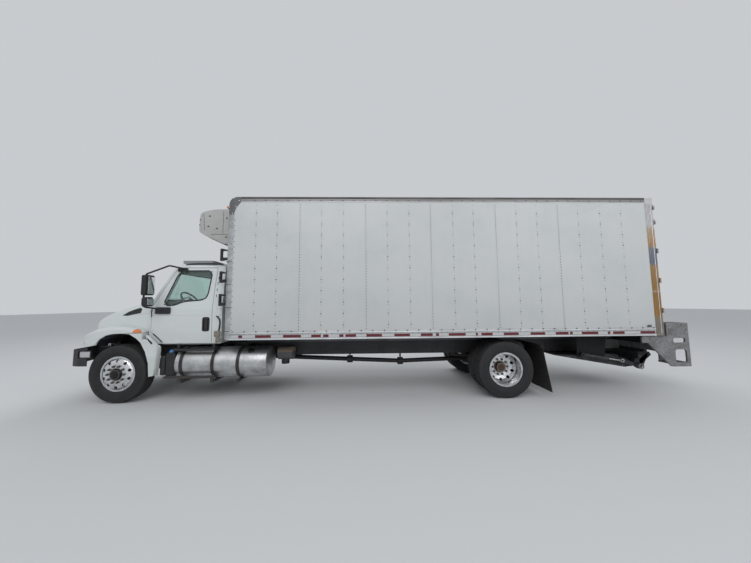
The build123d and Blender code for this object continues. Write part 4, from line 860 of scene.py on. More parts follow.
# Seats: two bucket seats of dark woven cloth over foam, each on a moulded pedestal.
# Every cushion is swelled as stuffed foam is, with welts sewn along its sides.
seat_cloth = finish_material("seat_cloth", (0.05, 0.052, 0.058), 0.9, more={"Sheen Weight": 0.35})
weave = combine(seat_cloth, "MULTIPLY", texture(seat_cloth, "Wave", 170.0, bands_direction="Y"),
                texture(seat_cloth, "Wave", 170.0, bands_direction="Z"))
woven = ramp_from(seat_cloth, weave, [(0.0, (0.022, 0.023, 0.026)), (1.0, (0.065, 0.067, 0.075))])
wear = combine(seat_cloth, "MULTIPLY", texture(seat_cloth, "Noise", 6.0, detail=5.0), 0.4)
colour_to(seat_cloth, mix_colours(seat_cloth, wear, woven, (0.10, 0.10, 0.105)))
bump_from(seat_cloth, weave, 0.5, 0.0015)


def stuffed(piece, swell):
    """Swells a rounded block into a cushion; no point moves further than swell millimetres."""
    choose(piece)
    remesh = piece.modifiers.new("even_skin", "REMESH")
    remesh.mode = "VOXEL"
    remesh.voxel_size = 0.011
    bpy.ops.object.modifier_apply(modifier=remesh.name)
    before = [vertex.co.copy() for vertex in piece.data.vertices]
    cloth = piece.modifiers.new("stuffing", "CLOTH")
    cloth.settings.use_pressure = True
    cloth.settings.uniform_pressure_force = 4.0
    cloth.settings.effector_weights.gravity = 0.0
    cloth.settings.quality = 5
    for step in range(1, 21):
        bpy.context.scene.frame_set(step)
    bpy.ops.object.modifier_apply(modifier=cloth.name)
    bpy.context.scene.frame_set(1)
    for vertex, rest in zip(piece.data.vertices, before):
        shift = vertex.co - rest
        if shift.length > swell / 1000:
            vertex.co = rest + shift.normalized() * (swell / 1000)
    smooth = piece.modifiers.new("soft_form", "SUBSURF")
    smooth.levels = 1
    smooth.render_levels = 1
    bpy.ops.object.modifier_apply(modifier=smooth.name)
    bpy.ops.object.shade_smooth()
    return piece


def raked_slab(x_span, y_span, z_span, bevel, top_shift):
    """A cushion block whose top is shifted back along the seat's rake, by top_shift millimetres."""
    piece = slab(x_span, y_span, z_span, bevel, 4)
    low, high = at(0, 0, z_span[0]).z, at(0, 0, z_span[1]).z
    for vertex in piece.data.vertices:
        vertex.co.x += top_shift / 1000 * (vertex.co.z - low) / (high - low)
    return piece


seat_y = 450
cushion = stuffed(slab((-1580, -1096), (seat_y - 235, seat_y + 235), (1308, 1412), 40, 4), 18)
back_pad = stuffed(raked_slab((-1488, -1384), (seat_y - 228, seat_y + 228), (1420, 2095), 40, -118), 18)
head_pad = stuffed(raked_slab((-1530, -1474), (seat_y - 118, seat_y + 118), (2128, 2284), 24, -30), 12)
for piece, label in ((cushion, "seat_cushion"), (back_pad, "seat_back"), (head_pad, "head_rest")):
    other = copy_moved(piece, Matrix.Translation((0, -2 * seat_y / 1000, 0)))
    for part, side in ((piece, "left"), (other, "right")):
        settle(part, f"{label}_{side}", seat_cloth)
for side, sign in both_sides:
    y = sign * seat_y
    pedestal = slab((-1560, -1125), (y - 195, y + 195), (1071, 1290), 24, 3)
    inset_faces(pedestal, lambda face: abs(face.normal.y) > 0.99 and face.calc_area() > 0.02, (30, -8))
    pan = slab((-1590, -1090), (y - 240, y + 240), (1288, 1316), 12, 3)
    stalks = [bead([at(-1512, y + offset, 2060), at(-1517, y + offset, 2150)], 7) for offset in (-55, 55)]
    settle([pedestal, pan] + stalks, f"seat_base_{side}", dash_plastic)
welt_lines = (((-1570, 238, 1362), (-1330, 250, 1364), (-1100, 238, 1362)),
              ((-1442, 232, 1440), (-1490, 244, 1740), (-1548, 230, 2080)))
welts = []
for middle_y, edge in ((seat_y, -1), (seat_y, 1), (-seat_y, -1), (-seat_y, 1)):
    for line in welt_lines:
        welts.append(bead([at(x, middle_y + edge * out, z) for x, out, z in line], 4))
settle(welts, "seat_welts", rubber_black)
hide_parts("seats")

# Mirrors: the glass of the flat head and of the small convex head on each side.
# Silvered glass is bedded in each black shell.
mirror_glass = finish_material("mirror_glass", (0.82, 0.84, 0.85), 0.03, 1.0)
rough_to(mirror_glass, texture(mirror_glass, "Noise", 12.0, detail=6.0), 0.02, 0.16)
glass_edge = 0.012
for side, sign in both_sides:
    heads = []
    for z_low, z_high in ((1895, 2225), (1702, 1842)):
        skin_x = first_hit(f"mirror_{side}", at(-1100, sign * 1250, (z_low + z_high) / 2), along).x
        y_low, y_high = sorted((sign * 1166, sign * 1334))
        low = Vector((skin_x - 0.006, y_low / 1000 + glass_edge, z_low / 1000 + glass_edge))
        high = Vector((skin_x + 0.004, y_high / 1000 - glass_edge, z_high / 1000 - glass_edge))
        heads.append(block_between(low, high, 4))
    settle(heads, f"mirror_glass_{side}", mirror_glass, f"cab_door_{side}")

# Fuel tank: a rolled aluminium drum with pressed ends, polished, then dulled by weather.
# End caps are welded on, and a black filler cap sits on its outer shoulder.
tank_alloy = finish_material("tank_alloy", (0.56, 0.57, 0.58), 0.3, 1.0)
tank_blotch = texture(tank_alloy, "Noise", 7.0, (0.6, 1, 1), detail=9.0, roughness=0.72)
tank_share = ramp_from(tank_alloy, tank_blotch, [(0.38, 0.0), (0.72, 1.0)])
colour_to(tank_alloy, mix_colours(tank_alloy, tank_share, (0.66, 0.67, 0.68), (0.30, 0.295, 0.285)))
rough_to(tank_alloy, tank_blotch, 0.2, 0.6)
bump_from(tank_alloy, texture(tank_alloy, "Noise", 90.0, (0.06, 1, 1), detail=3.0), 0.15, 0.0006)
bump_from(tank_alloy, texture(tank_alloy, "Noise", 4.0, detail=2.0), 0.35, 0.01)
coat_nodes(tank_alloy, "fuel_tank")
tank_y, tank_z = 872, 655
weld_radius = 274.5
seams = []
for x, thickness in ((-1012, 4), (-2417, 4), (-1450, 2.5)):
    turns = [2 * math.pi * number / 64 for number in range(64)]
    ring = [at(x, tank_y + weld_radius * math.cos(turn), tank_z + weld_radius * math.sin(turn)) for turn in turns]
    seams.append(bead(ring, thickness, closed=True, sides=2))
settle(seams, "tank_seams", tank_alloy)
filler_lean = math.radians(38)
filler_out = Vector((0, math.sin(filler_lean), math.cos(filler_lean)))
filler_seat = at(-2290, tank_y, tank_z) + filler_out * 0.270
neck = turned([(0, 0), (0, 52), (14, 52), (18, 44), (18, 0)], filler_seat, filler_out, 32, along)
filler = turned([(16, 0), (16, 47), (30, 49), (38, 44), (40, 36), (40, 0)], filler_seat, filler_out, 32, along)
settle([neck, filler], "tank_filler_cap", cap_black, smooth=30)
clamps = []
for x in (-1102, -1652, -2095):
    clamps.append(slab((x - 20, x + 20), (1128, 1160), (640, 676), 5))
    clamps.append(bead([at(x, 1152, 600), at(x, 1152, 720)], 7))
    clamps.append(stud(at(x, 1152, 720), upright, 12, 12))
settle(clamps, "tank_strap_clamps", strap_black)

# Urea tank: a blue moulded screw cap on the small black tank ahead of the fuel tank.
# A rounded, blow-moulded black cover snaps over the tank's front, behind the fender.
cap_blue = mottled("cap_blue", (0.03, 0.16, 0.42), 0.4, [(0.4, (0.03, 0.17, 0.44)), (0.8, (0.10, 0.2, 0.33))],
                   30.0, 6.0, (300.0, 0.2, 0.0004))
blue_out = Vector((0, 0.64, 0.77))
blue_seat = first_hit("def_tank", at(-890, 1080, 900) + blue_out * 0.5, -blue_out)
blue_cap = turned([(-6, 0), (-6, 36), (6, 36), (8, 40), (24, 40), (30, 34), (31, 0)], blue_seat, blue_out, 28, along)
settle(blue_cap, "urea_cap", cap_blue, smooth=30)
cover = slab((-800, -702), (440, 1098), (462, 812), 34, 4)
settle(cover, "urea_tank_cover", black_trim, smooth=35)

# Cab step treads: rows of raised punched grips along both steps.
# They are pressed up from the step's own sheet.
grips = []
grip_pitch = 45
for side, sign in both_sides:
    for x_low, x_high, y_mid, z in ((-1700, -850, 1142, 462), (-1675, -985, 1120, 1010)):
        grip = stud(at(x_low + 20, sign * y_mid, z - 1), upright, 9, 5, 8, 0.3)
        count = int((x_high - x_low - 40) / grip_pitch)
        grips.append(set_out(grip, [Matrix.Translation((step * (grip_pitch / 1000), 0, 0)) for step in range(count)]))
settle(grips, "step_grips", sill_grey)

# Insulated body sides: prepainted aluminium sheets riveted to upright posts.
# Every third post is a lapped joint; scuffs and rain marks show in the paint. The roof is a ribbed pale sheet,
# and the floor is ribbed steel.
body_panel = finish_material("body_panel", (0.5, 0.52, 0.53), 0.3)
cloud = texture(body_panel, "Noise", 0.9, (1, 1, 1.6), detail=6.0, roughness=0.6)
tone = ramp_from(body_panel, cloud, [(0.3, (0.47, 0.495, 0.505)), (0.5, (0.51, 0.53, 0.535)),
                                     (0.72, (0.535, 0.545, 0.535))])
runs = texture(body_panel, "Noise", 7.0, (1, 1, 0.14), detail=7.0, roughness=0.7)
run_share = ramp_from(body_panel, runs, [(0.55, 0.0), (0.8, 0.28)])
tone = mix_colours(body_panel, run_share, tone, (0.40, 0.415, 0.42))
scuff = texture(body_panel, "Noise", 24.0, (0.05, 1, 1), detail=5.0, roughness=0.6)
scuff_share = ramp_from(body_panel, scuff, [(0.67, 0.0), (0.72, 0.45)])
scuff_patch = texture(body_panel, "Noise", 0.7, (1, 1, 1.4), detail=2.0)
scuff_where = ramp_from(body_panel, scuff_patch, [(0.52, 0.0), (0.62, 1.0)])
tone = mix_colours(body_panel, combine(body_panel, "MULTIPLY", scuff_share, scuff_where), tone, (0.3, 0.305, 0.31))
low_film = combine(body_panel, "SUBTRACT", 1.0, place_share(body_panel, "Z", 1.1, 1.9))
tone = mix_colours(body_panel, combine(body_panel, "MULTIPLY", low_film, 0.22), tone, (0.36, 0.355, 0.33))
colour_to(body_panel, tone)
rough_to(body_panel, runs, 0.22, 0.5)
bump_from(body_panel, texture(body_panel, "Noise", 1.5, (1, 1, 0.7), detail=2.0), 0.5, 0.03)
coat_nodes(body_panel, "box_side_walls", "box_front_wall")
roof_sheet = finish_material("roof_sheet", (0.5, 0.5, 0.5), 0.4)
grime(roof_sheet, (0.50, 0.505, 0.50), (0.22, 0.21, 0.19), 3.2, 4.8, 0.9, 1.4)
bump_from(roof_sheet, texture(roof_sheet, "Wave", 0.82, (1, 0, 0), bands_direction="X"), 0.3, 0.012)
coat_nodes(roof_sheet, "box_roof")
floor_steel = finish_material("floor_steel", (0.14, 0.145, 0.15), 0.55, 0.6)
grime(floor_steel, (0.16, 0.165, 0.17), (0.05, 0.046, 0.04), 0.9, 1.35, 0.7, 5.0)
bump_from(floor_steel, texture(floor_steel, "Wave", 6.5, (0, 1, 0), bands_direction="Y"), 0.6, 0.01)
coat_nodes(floor_steel, "box_floor")
rivet_metal = mottled("rivet_metal", (0.2, 0.2, 0.2), 0.45,
                      [(0.36, (0.26, 0.265, 0.27)), (0.45, (0.10, 0.10, 0.105)), (0.6, (0.045, 0.045, 0.05))],
                      1.7, 3.0, (150.0, 0.2, 0.0003), metal=0.3)
posts = (-2417, -2795, -3203, -3593, -3990, -4394, -4786, -5187, -5583, -5991, -6377, -6790, -7180, -7567, -7967,
         -8352, -8770, -9172)
joint_posts = (-3203, -4394, -5583, -6790, -7967)
panel_low, panel_high = 1270, 3556
wall_y = 1290
lap_y = 1291.5


def rivet_row(x, y, z, sign, radius, step, reach):
    """Rivets on one side from a start point, a step apart, over a reach; all in millimetres."""
    head = stud(at(x, sign * y, z), across * sign, radius, 3, 8, 0.35)
    row = head.modifiers.new("row", "ARRAY")
    row.count = int(reach / math.hypot(*step)) + 1
    row.use_relative_offset = False
    row.use_constant_offset = True
    row.constant_offset_displace = tuple(part / 1000 for part in step)
    bpy.ops.object.modifier_apply(modifier=row.name)
    return head


def rivet_column(x, y, z_low, z_high, pitch, sign, radius):
    return rivet_row(x, y, z_low, sign, radius, (0, 0, pitch), z_high - z_low)


for side, sign in both_sides:
    columns = []
    for x in posts:
        if x in joint_posts:
            columns.append(rivet_column(x, lap_y, panel_low, panel_high, 51, sign, 8))
        else:
            columns.append(rivet_column(x, wall_y, panel_low + 20, panel_high, 101, sign, 5))
            columns.append(rivet_column(x, wall_y, panel_low + 70, panel_high, 202, sign, 10.5))
    columns.append(rivet_column(-2036, wall_y, panel_low, panel_high - 260, 98, sign, 8))
    settle(columns, f"panel_rivets_{side}", rivet_metal)
    laps = [slab((x - 26, x + 26), (1289, lap_y), (panel_low - 22, panel_high + 18), 0.8, 1, sign)
            for x in joint_posts]
    settle(laps, f"panel_laps_{side}", body_panel)

# Side rails: bare extruded aluminium along the foot and the top of each wall.
# The foot rail has a raised ridge and a lower lip, and carries red and silver tape between them.
rail_alloy = finish_material("rail_alloy", (0.52, 0.53, 0.54), 0.35, 0.75)
rail_noise = texture(rail_alloy, "Noise", 6.0, (0.25, 1, 2.0), detail=8.0, roughness=0.65)
rail_tone = ramp_from(rail_alloy, rail_noise, [(0.32, (0.36, 0.365, 0.37)), (0.55, (0.5, 0.51, 0.52)),
                                               (0.75, (0.6, 0.61, 0.62))])
# The rails are coloured darker near the top of the wall.
darker_near_top = place_share(rail_alloy, "Z", 3.3, 3.55)
colour_to(rail_alloy, mix_colours(rail_alloy, darker_near_top, rail_tone, (0.2, 0.195, 0.195)))
rough_to(rail_alloy, rail_noise, 0.28, 0.55)
bump_from(rail_alloy, texture(rail_alloy, "Noise", 160.0, (0.03, 1, 1), detail=2.0), 0.2, 0.0004)
coat_nodes(rail_alloy, "side_rails", "corner_posts")
lip_alloy = mottled("lip_alloy", (0.72, 0.73, 0.74), 0.3, [(0.35, (0.60, 0.61, 0.62)), (0.65, (0.8, 0.81, 0.82))],
                    9.0, 7.0, metal=0.6, span=(0.2, 0.5), stretch=(0.3, 1, 1))
silver_tape = finish_material("silver_tape", (0.6, 0.61, 0.62), 0.35)
cells = texture(silver_tape, "Voronoi", 190.0, output="Distance")
colour_to(silver_tape, ramp_from(silver_tape, cells, [(0.0, (0.63, 0.64, 0.65)), (0.6, (0.45, 0.455, 0.46))]))
bump_from(silver_tape, cells, 0.3, 0.0003)
red_tape = finish_material("red_tape", (0.16, 0.006, 0.014), 0.32)
red_cells = texture(red_tape, "Voronoi", 190.0, output="Distance")
red_fade = combine(red_tape, "MULTIPLY", texture(red_tape, "Noise", 5.0, (1, 1, 4), detail=6.0), 0.35)
red_tone = ramp_from(red_tape, red_cells, [(0.0, (0.19, 0.007, 0.016)), (0.6, (0.10, 0.005, 0.010))])
colour_to(red_tape, mix_colours(red_tape, red_fade, red_tone, (0.11, 0.03, 0.04)))
bump_from(red_tape, red_cells, 0.3, 0.0003)
cover_dark = mottled("cover_dark", (0.06, 0.058, 0.058), 0.6,
                     [(0.35, (0.045, 0.042, 0.043)), (0.7, (0.11, 0.10, 0.098))],
                     4.0, 7.0, (120.0, 0.3, 0.001), stretch=(0.5, 1, 1))
tape_low, tape_high = 1132, 1175
rail_y = 1295
rail_rear = -9640
red_runs = [(-2167, -2233), (-2456, -2729), (-2938, -3250), (-3429, -3596), (-3636, -3731), (-3918, -3993),
            (-4025, -4212), (-4395, -4670), (-4887, -5165), (-5357, -5569), (-5628, -5681), (-5856, -6159),
            (-6342, -6379), (-6441, -6644), (-6846, -7116), (-7330, -7597), (-7790, -8026), (-8051, -8101),
            (-8267, -8569), (-8745, -8793), (-8843, -9057), (-9352, -9625)]
hook_line = ((-9555, 1300, 1268), (-9548, 1312, 1284), (-9505, 1312, 1284), (-9495, 1300, 1268))
for side, sign in both_sides:
    silver = slab((rail_rear, -2050), (1294, 1296.2), (tape_low, tape_high), 0.6, 1, sign)
    settle(silver, f"silver_tape_{side}", silver_tape)
    reds = [slab((rear, front), (1294, 1297.2), (tape_low - 1, tape_high + 1), 0.5, 1, sign)
            for front, rear in red_runs]
    settle(reds, f"red_tape_{side}", red_tape)
    ridges = [slab((-9645, -2022), (1290, 1302), z_span, 4.5, 3, sign) for z_span in ((1203, 1219), (1094, 1118))]
    settle(ridges, f"rail_ridges_{side}", lip_alloy, smooth=30)
    rivets = [rivet_row(x, rail_y, z, sign, radius, (-pitch, 0, 0), x - rail_rear)
              for x, z, pitch, radius in ((-2060, 1236, 204, 12), (-2180, 3596, 200, 12), (-2060, 1188, 102, 5))]
    settle(rivets, f"rail_rivets_{side}", rivet_metal)
    cover = slab((-9648, -2136), (1284, 1298), (3626, 3662), 5, 3, sign)
    settle(cover, f"roof_edge_cover_{side}", cover_dark, smooth=30)
    lip = slab((-9648, -2136), (1284, 1298), (3568, 3576), 2.5, 2, sign)
    settle(lip, f"top_rail_lip_{side}", lip_alloy, smooth=30)
    base = slab((-9560, -9490), (1290, 1312), (1252, 1268), 4, 2, sign)
    hook = bead([at(x, sign * y, z) for x, y, z in hook_line], 5)
    settle([base, hook], f"door_holdback_{side}", strap_black)

# Front corners: rolled aluminium posts with riveted edges, under dark moulded corner caps with amber lamps.
# Short joint lines cross each post where the climbing steps' plates end.
post_section = ((-1868, 1150), (-1872, 1190), (-1894, 1260), (-1918, 1284), (-1960, 1296), (-2014, 1296))
cap_rivets = ((-1905, 3350), (-1990, 3352), (-1900, 3480), (-2050, 3480), (-2105, 3590), (-1920, 3610), (-2010, 3640))
for side, sign in both_sides:
    lines = [bead([at(x, sign * y, z) for x, y in post_section], 4) for z in (2481, 2065, 1658, 1246)]
    settle(lines, f"post_joint_lines_{side}", cover_dark)
    rivets = [rivet_column(x, rail_y, z, 3320, pitch, sign, 7)
              for x, z, pitch in ((-2008, 1180, 190), (-1990, 1275, 380))]
    settle(rivets, f"post_rivets_{side}", rivet_metal)
    caps = [stud(place - across * sign * 0.001, across * sign, 9, 5, 10, 0.35)
            for place in side_hits("corner_caps", cap_rivets, sign)]
    settle(caps, f"cap_rivets_{side}", lip_alloy)
    front = first_hit("corner_caps", at(0, sign * 1200, 3490), -along)
    lamp = block_between(front + Vector((-0.004, -0.05, -0.02)), front + Vector((0.022, 0.05, 0.02)), 8, 3)
    settle(lamp, f"clearance_lamp_{side}", amber_lens, smooth=35)

# Refrigeration unit: a cream moulded nose bolted to the front wall above the cab.
# Its panels meet in open seams, with black latches, a louvred intake in front and a dark underside.
unit = "refrigeration_unit"
unit_cream = dusty("unit_cream", (0.5, 0.505, 0.475), 0.3,
                   ((0.41, 0.42, 0.405), (0.24, 0.235, 0.22), 2.6, 3.9, 0.6, 3.0), (350.0, 0.15, 0.0004), unit)
rough_to(unit_cream, texture(unit_cream, "Noise", 12.0, (1, 1, 0.2), detail=6.0), 0.2, 0.5)
unit_lines = ([(-1868, 3042), (-1700, 3042), (-1455, 3042)],
              [(-1676, 3500), (-1676, 3300), (-1676, 3110), (-1676, 3050)],
              [(-1305, 3440), (-1318, 3300), (-1330, 3129)])
latch_spots = ((-1560, 3160), (-1400, 3200), (-1210, 3245), (-1740, 3360), (-1740, 2990), (-1420, 3400), (-1230, 3340))
latch_half = Vector((0.016, 0.004, 0.011))
unit_seams = []
latches = []
for side, sign in both_sides:
    for line in unit_lines:
        unit_seams.append(bead(side_hits(unit, divided(line, 60, closed=False), sign), 3.5))
    for place in side_hits(unit, latch_spots, sign):
        latches.append(block_between(place - latch_half, place + latch_half, 3, 2))
        latches.append(stud(place + across * sign * 0.004, across * sign, 6, 4, 8))
settle(unit_seams, "unit_seams", cover_dark)
settle(latches, "unit_latches", rubber_black)
louvres = []
for z in range(3180, 3389, 26):
    for y_low, y_high in ((-700, -20), (20, 700)):
        place = first_hit(unit, at(0, (y_low + y_high) / 2, z), -along)
        louvres.append(block_between(Vector((place.x - 0.020, y_low / 1000, z / 1000 - 0.004)),
                                     Vector((place.x + 0.008, y_high / 1000, z / 1000 + 0.006)), 3, 1))
settle(louvres, "unit_louvres", rubber_black)
slats = []
slat_count = 12
for x in (-1200 - (step + 0.5) / slat_count * 470 for step in range(slat_count)):
    place = first_hit(unit, at(x, 0, 2000), upright)
    if place is not None:
        slats.append(block_between(Vector((place.x - 0.015, -0.86, place.z - 0.010)),
                                   Vector((place.x + 0.015, 0.86, place.z + 0.006)), 3, 1))
settle(slats, "unit_drain_slats", cover_dark)

# Rear frame: ribbed stainless posts, header and sill round the doorway.
# The polished ribs on the posts' outer faces carry painted reflections in bands: bright at the top, amber-brown below,
# and blue-grey between.
stainless = finish_material("stainless", (0.42, 0.42, 0.42), 0.3, 0.85)
# Painted reflections in bands up the height, laid only on the posts' outer faces.
bands = ramp_from(stainless, place_share(stainless, "Z", 1.093, 3.66),
                  [(0.0, (0.30, 0.27, 0.24)), (0.11, (0.33, 0.29, 0.24)), (0.15, (0.44, 0.25, 0.085)),
                   (0.30, (0.42, 0.25, 0.10)), (0.312, (0.55, 0.45, 0.33)), (0.325, (0.43, 0.26, 0.10)),
                   (0.49, (0.42, 0.27, 0.13)), (0.52, (0.20, 0.22, 0.28)), (0.62, (0.24, 0.25, 0.29)),
                   (0.65, (0.45, 0.29, 0.15)), (0.76, (0.46, 0.36, 0.26)), (0.80, (0.50, 0.50, 0.50)),
                   (1.0, (0.42, 0.42, 0.42))])
drift = texture(stainless, "Noise", 5.0, (1, 1, 0.5), detail=7.0)
plain_steel = ramp_from(stainless, drift, [(0.35, (0.36, 0.36, 0.36)), (0.7, (0.5, 0.5, 0.505))])
is_left = place_share(stainless, "Y", 1.288, 1.292)
is_right = combine(stainless, "SUBTRACT", 1.0, place_share(stainless, "Y", -1.292, -1.288))
colour_to(stainless, mix_colours(stainless, combine(stainless, "MAXIMUM", is_left, is_right), plain_steel, bands))
rough_to(stainless, drift, 0.2, 0.5)
bump_from(stainless, texture(stainless, "Noise", 140.0, (1, 1, 0.03), detail=2.0), 0.2, 0.0004)
coat_nodes(stainless, "rear_frame")
for side, sign in both_sides:
    # A bright bead down each post's bevel, painted as the highlight along it.
    ridge = side_hits("rear_frame", [(-9751, z) for z in (1130, 1700, 2300, 2900, 3560)], sign)
    settle(bead(ridge, 6), f"post_ridge_highlight_{side}", lip_alloy)

# Rear doors: two insulated swing doors in white, with galvanised lock rods and strap hinges.
# Each closes on a black rubber seal; levers on the rods turn their cams into the frame.
door_paint = finish_material("door_paint", (0.5, 0.52, 0.53), 0.35)
hardware_low = at(-9794, 0, 0).x
is_panel = place_share(door_paint, "X", hardware_low - 0.0004, hardware_low + 0.0004)
door_drift = texture(door_paint, "Noise", 5.0, (1, 1, 0.3), detail=7.0)
panel_tone = ramp_from(door_paint, door_drift, [(0.35, (0.52, 0.535, 0.54)), (0.75, (0.42, 0.42, 0.41))])
zinc_tone = ramp_from(door_paint, door_drift, [(0.35, (0.34, 0.345, 0.35)), (0.75, (0.24, 0.235, 0.23))])
colour_to(door_paint, mix_colours(door_paint, is_panel, zinc_tone, panel_tone))
rough_to(door_paint, door_drift, 0.25, 0.55)
metal_share = combine(door_paint, "MULTIPLY", combine(door_paint, "SUBTRACT", 1.0, is_panel), 0.7)
link_nodes(door_paint, metal_share, shader_of(door_paint).inputs["Metallic"])
grain(door_paint, 300.0, 0.2, 0.0005)
coat_nodes(door_paint, "rear_door_left", "rear_door_right")
galvanised = finish_material("galvanised", (0.27, 0.275, 0.28), 0.5, 0.7)
spangle = texture(galvanised, "Voronoi", 60.0, output="Color")
spangle_tone = ramp_from(galvanised, spangle, [(0.2, (0.22, 0.225, 0.23)), (0.8, (0.33, 0.335, 0.34))])
zinc_dirt = texture(galvanised, "Noise", 6.0, detail=9.0, roughness=0.7)
zinc_share = ramp_from(galvanised, zinc_dirt, [(0.42, 0.0), (0.7, 0.75)])
colour_to(galvanised, mix_colours(galvanised, zinc_share, spangle_tone, (0.11, 0.105, 0.095)))
rough_to(galvanised, zinc_dirt, 0.4, 0.75)
bump_from(galvanised, zinc_dirt, 0.2, 0.002)
lens_red = moulded_lens("lens_red", (0.42, 0.012, 0.012), 0.12, 0.8,
                        [(0.0, (0.5, 0.02, 0.02)), (0.6, (0.26, 0.008, 0.01))],
                        (0.3, 0.001), "Voronoi", 90.0, output="Distance")
gasket_outline = softened([(14, 1340), (1180, 1340), (1180, 3508), (14, 3508)])
for side, sign in both_sides:
    body = f"rear_door_{side}"
    gasket = bead([at(-9794, sign * y, z) for y, z in gasket_outline], 9, closed=True)
    settle(gasket, f"rear_door_seal_{side}", rubber_black, body)
    fittings = []
    for y in (330, 820):
        fittings.append(slab((-9836, -9824), (y + 12, y + 250), (1985, 2013), 5, 2, sign))
        fittings.append(slab((-9830, -9793), (y + 205, y + 262), (1965, 2035), 6, 2, sign))
        for z in (1350, 1700, 2400, 3100, 3480):
            for offset in (-28, 28):
                fittings.append(stud(at(-9793, sign * y + offset, z), -along, 9, 5, 6))
    settle(fittings, f"rear_door_levers_{side}", galvanised, body)
    strip = slab((-9796, -9792), (420, 780), (1480, 1530), 1, 1, sign)
    settle(strip, f"rear_door_tape_{side}", red_tape, body)
lamps = [slab((-9806, -9794), (y - 50, y + 50), (3585, 3618), 6, 3) for y in (-160, 0, 160, -1150, 1150)]
lamp_section = [(0, 0), (0, 52), (8, 52), (16, 44), (20, 25), (21, 0)]
lamps += [turned(lamp_section, at(-9795, y, 1205), -along, 32) for y in (1010, 1150, -1010, -1150)]
settle(lamps, "rear_lamps", lens_red, smooth=35)

# Liftgate: a tuck-under platform on two arms behind the rear axle, between galvanised side brackets.
# The side brackets carry step treads, and a hose feeds each ram; the arms, rams and platform are coloured
# near black as painted shade under the body, with greasy patches.
frame_zinc_and_shade = galvanised.copy()
frame_zinc_and_shade.name = "frame_zinc_and_shade"
zinc_colour = shader_of(frame_zinc_and_shade).inputs["Base Color"].links[0].from_socket
# The frame ahead of the side brackets is coloured near black, painted shade under the body.
shaded_part = place_share(frame_zinc_and_shade, "X", -4.755, -4.74)
colour_to(frame_zinc_and_shade, mix_colours(frame_zinc_and_shade, shaded_part, zinc_colour, (0.018, 0.018, 0.02)))
coat_nodes(frame_zinc_and_shade, "liftgate_frame")
# Near black as painted shade under the body, with greasy grey patches.
gate_shade_and_grease = mottled("gate_shade_and_grease", (0.05, 0.052, 0.056), 0.5,
                    [(0.35, (0.022, 0.023, 0.026)), (0.55, (0.045, 0.046, 0.05)), (0.75, (0.17, 0.165, 0.16))],
                    8.0, 8.0, (160.0, 0.4, 0.001), metal=0.3, span=(0.35, 0.7), roughness=0.7)
coat_nodes(gate_shade_and_grease, "lift_arms", "lift_cylinders", "lift_platform")
ram_chrome = mottled("ram_chrome", (0.6, 0.6, 0.61), 0.12, [(0.4, (0.62, 0.62, 0.63)), (0.8, (0.3, 0.28, 0.26))],
                     20.0, 6.0, metal=1.0, span=(0.08, 0.4))
coat_nodes(ram_chrome, "lift_rods")
bracket_bolts = ((-9560, 1020), (-9700, 1020), (-9820, 1020), (-9930, 1120), (-9930, 1200), (-10250, 1280),
                 (-10180, 1280), (-10100, 1280), (-10260, 1190), (-9960, 1280))
boss_section = [(0, 30), (0, 52), (8, 52), (12, 46), (12, 34), (8, 30)]
pressure_line = softened([(-9000, 760), (-8960, 800), (-8800, 830), (-8640, 800), (-8560, 745)], closed=False)
for side, sign in both_sides:
    treads = []
    for z in (592, 892, 1307):
        bar = slab((-10280, -10270), (1000, 1215), (z, z + 8), 2, 1, sign)
        treads.append(set_out(bar, [Matrix.Translation((step * 0.030, 0, 0)) for step in range(9)]))
    treads += [stud(at(x, sign * 1254, z), across * sign, 11, 9, 6) for x, z in bracket_bolts]
    settle(treads, f"step_treads_{side}", galvanised)
    ring = turned(boss_section, at(-9680, sign * 930, 470), across * sign, 36)
    settle(ring, f"arm_boss_ring_{side}", galvanised, "lift_arms", 30)
for side, sign in both_sides:
    line = bead([at(x, sign * 850, z) for x, z in pressure_line], 9)
    settle(line, f"gate_pressure_line_{side}", rubber_black)

# Folded flap: the platform's outer half, turned over and resting on the inner half.
# It is a shallow steel tray with worn patches, coloured near black as painted shade, hinged along the platform's nose.
flap_profile = [(-8116, 679), (-8300, 674), (-9380, 668), (-9440, 640), (-9440, 606), (-8140, 677)]
settle(prism(flap_profile, -715, 715, 2), "folded_flap", gate_shade_and_grease, "lift_platform")

# Hinge box: the deep welded box behind the platform that carries its hinges.
# It is folded plate, coloured near black as painted shade like the platform, and it fills the gap behind the platform
# where only shade shows; it rides with the platform.
box_profile = [(-9722, 452), (-9722, 732), (-9842, 732), (-9842, 815), (-9900, 815), (-9900, 650), (-9800, 452)]
settle(prism(box_profile, -850, 850, 4), "hinge_shade_box", gate_shade_and_grease, "lift_platform")

# Extension plate: a full-width dark channel under the rear sill, which carries the side brackets.
# It is bolted up to the sill, and its black fills the space above the cross tube as painted shade.
plate = slab((-9700, -9655), (-1222, 1222), (918, 1092), 6)
inset_faces(plate, lambda face: abs(face.normal.x) > 0.99 and face.calc_area() > 0.05, (20, -12), apart=True)
plate_bolts = [stud(at(-9700, y, 1060), -along, 11, 9, 6) for y in range(-1150, 1151, 230)]
settle([plate] + plate_bolts, "extension_shade_plate", chassis_black)

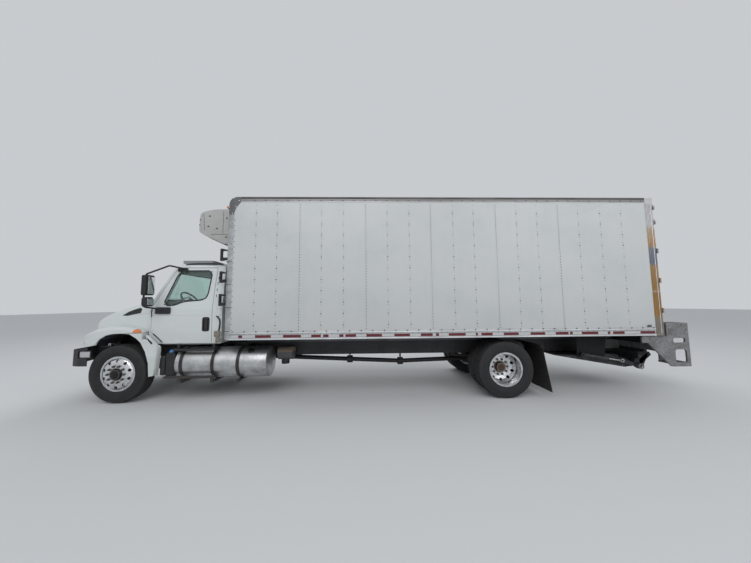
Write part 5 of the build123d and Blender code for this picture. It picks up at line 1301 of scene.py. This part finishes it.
# Platform ribs: zinc-coated bars across the deck for grip.
# They are welded on, 60 mm apart.
deck_ribs = []
for x in range(-9530, -8149, 60):
    deck = first_hit("lift_platform", at(x, 0, 1000), -upright)
    if deck is not None:
        low, high = deck + Vector((-0.006, -0.74, -0.003)), deck + Vector((0.006, 0.74, 0.004))
        deck_ribs.append(block_between(low, high, 2, 1))
settle(deck_ribs, "platform_ribs", galvanised, "lift_platform")

# Mud flap brackets: a steel angle over each rear flap, with four bolts through the rubber.
# The flap hangs from it behind the rear wheels.
for side, sign in both_sides:
    flap_x = first_hit("mud_flaps", at(-7300, sign * 900, 900), -along).x
    y_low, y_high = sorted((sign * 640, sign * 1235))
    low = Vector((flap_x - 0.004, y_low / 1000, 0.868))
    high = Vector((flap_x + 0.008, y_high / 1000, 0.918))
    angle = [block_between(low, high, 3)]
    for y in (700, 860, 1020, 1180):
        angle.append(stud(Vector((flap_x + 0.008, sign * y / 1000, 0.893)), along, 11, 8, 6))
    settle(angle, f"flap_bracket_{side}", strap_black)

# Floor, backdrop and lamps: a plain pale studio floor under soft light from both sides and above.
# The sky behind it is pale and even.
bpy.ops.object.select_all(action="DESELECT")
bpy.ops.mesh.primitive_plane_add(size=160, location=(0, 0, 0))
floor = bpy.context.object
floor.name = "studio_floor"
floor.data.materials.append(finish_material("floor_finish", (0.6, 0.61, 0.62), 0.9))

world = bpy.data.worlds.new("studio_sky")
bpy.context.scene.world = world
world.use_nodes = True
world.node_tree.nodes["Background"].inputs["Color"].default_value = (0.93, 0.96, 1.0, 1)
world.node_tree.nodes["Background"].inputs["Strength"].default_value = 0.62

for name, spot, aim, size, power in (
    ("key_lamp", (3.0, 14.0, 12.0), (-0.5, 0.0, 1.6), 10.0, 900),
    ("fill_lamp", (-9.0, 11.0, 8.0), (-2.5, 0.0, 1.6), 9.0, 350),
    ("back_lamp", (2.0, -12.0, 10.0), (0.0, 0.0, 1.6), 9.0, 700),
):
    bpy.ops.object.light_add(type="AREA", location=spot)
    lamp = bpy.context.object
    lamp.name = name
    lamp.data.shape = "SQUARE"
    lamp.data.size = size
    lamp.data.energy = power
    lamp.rotation_euler = (Vector(aim) - Vector(spot)).to_track_quat("-Z", "Y").to_euler()
bpy.context.scene.view_settings.view_transform = "Standard"
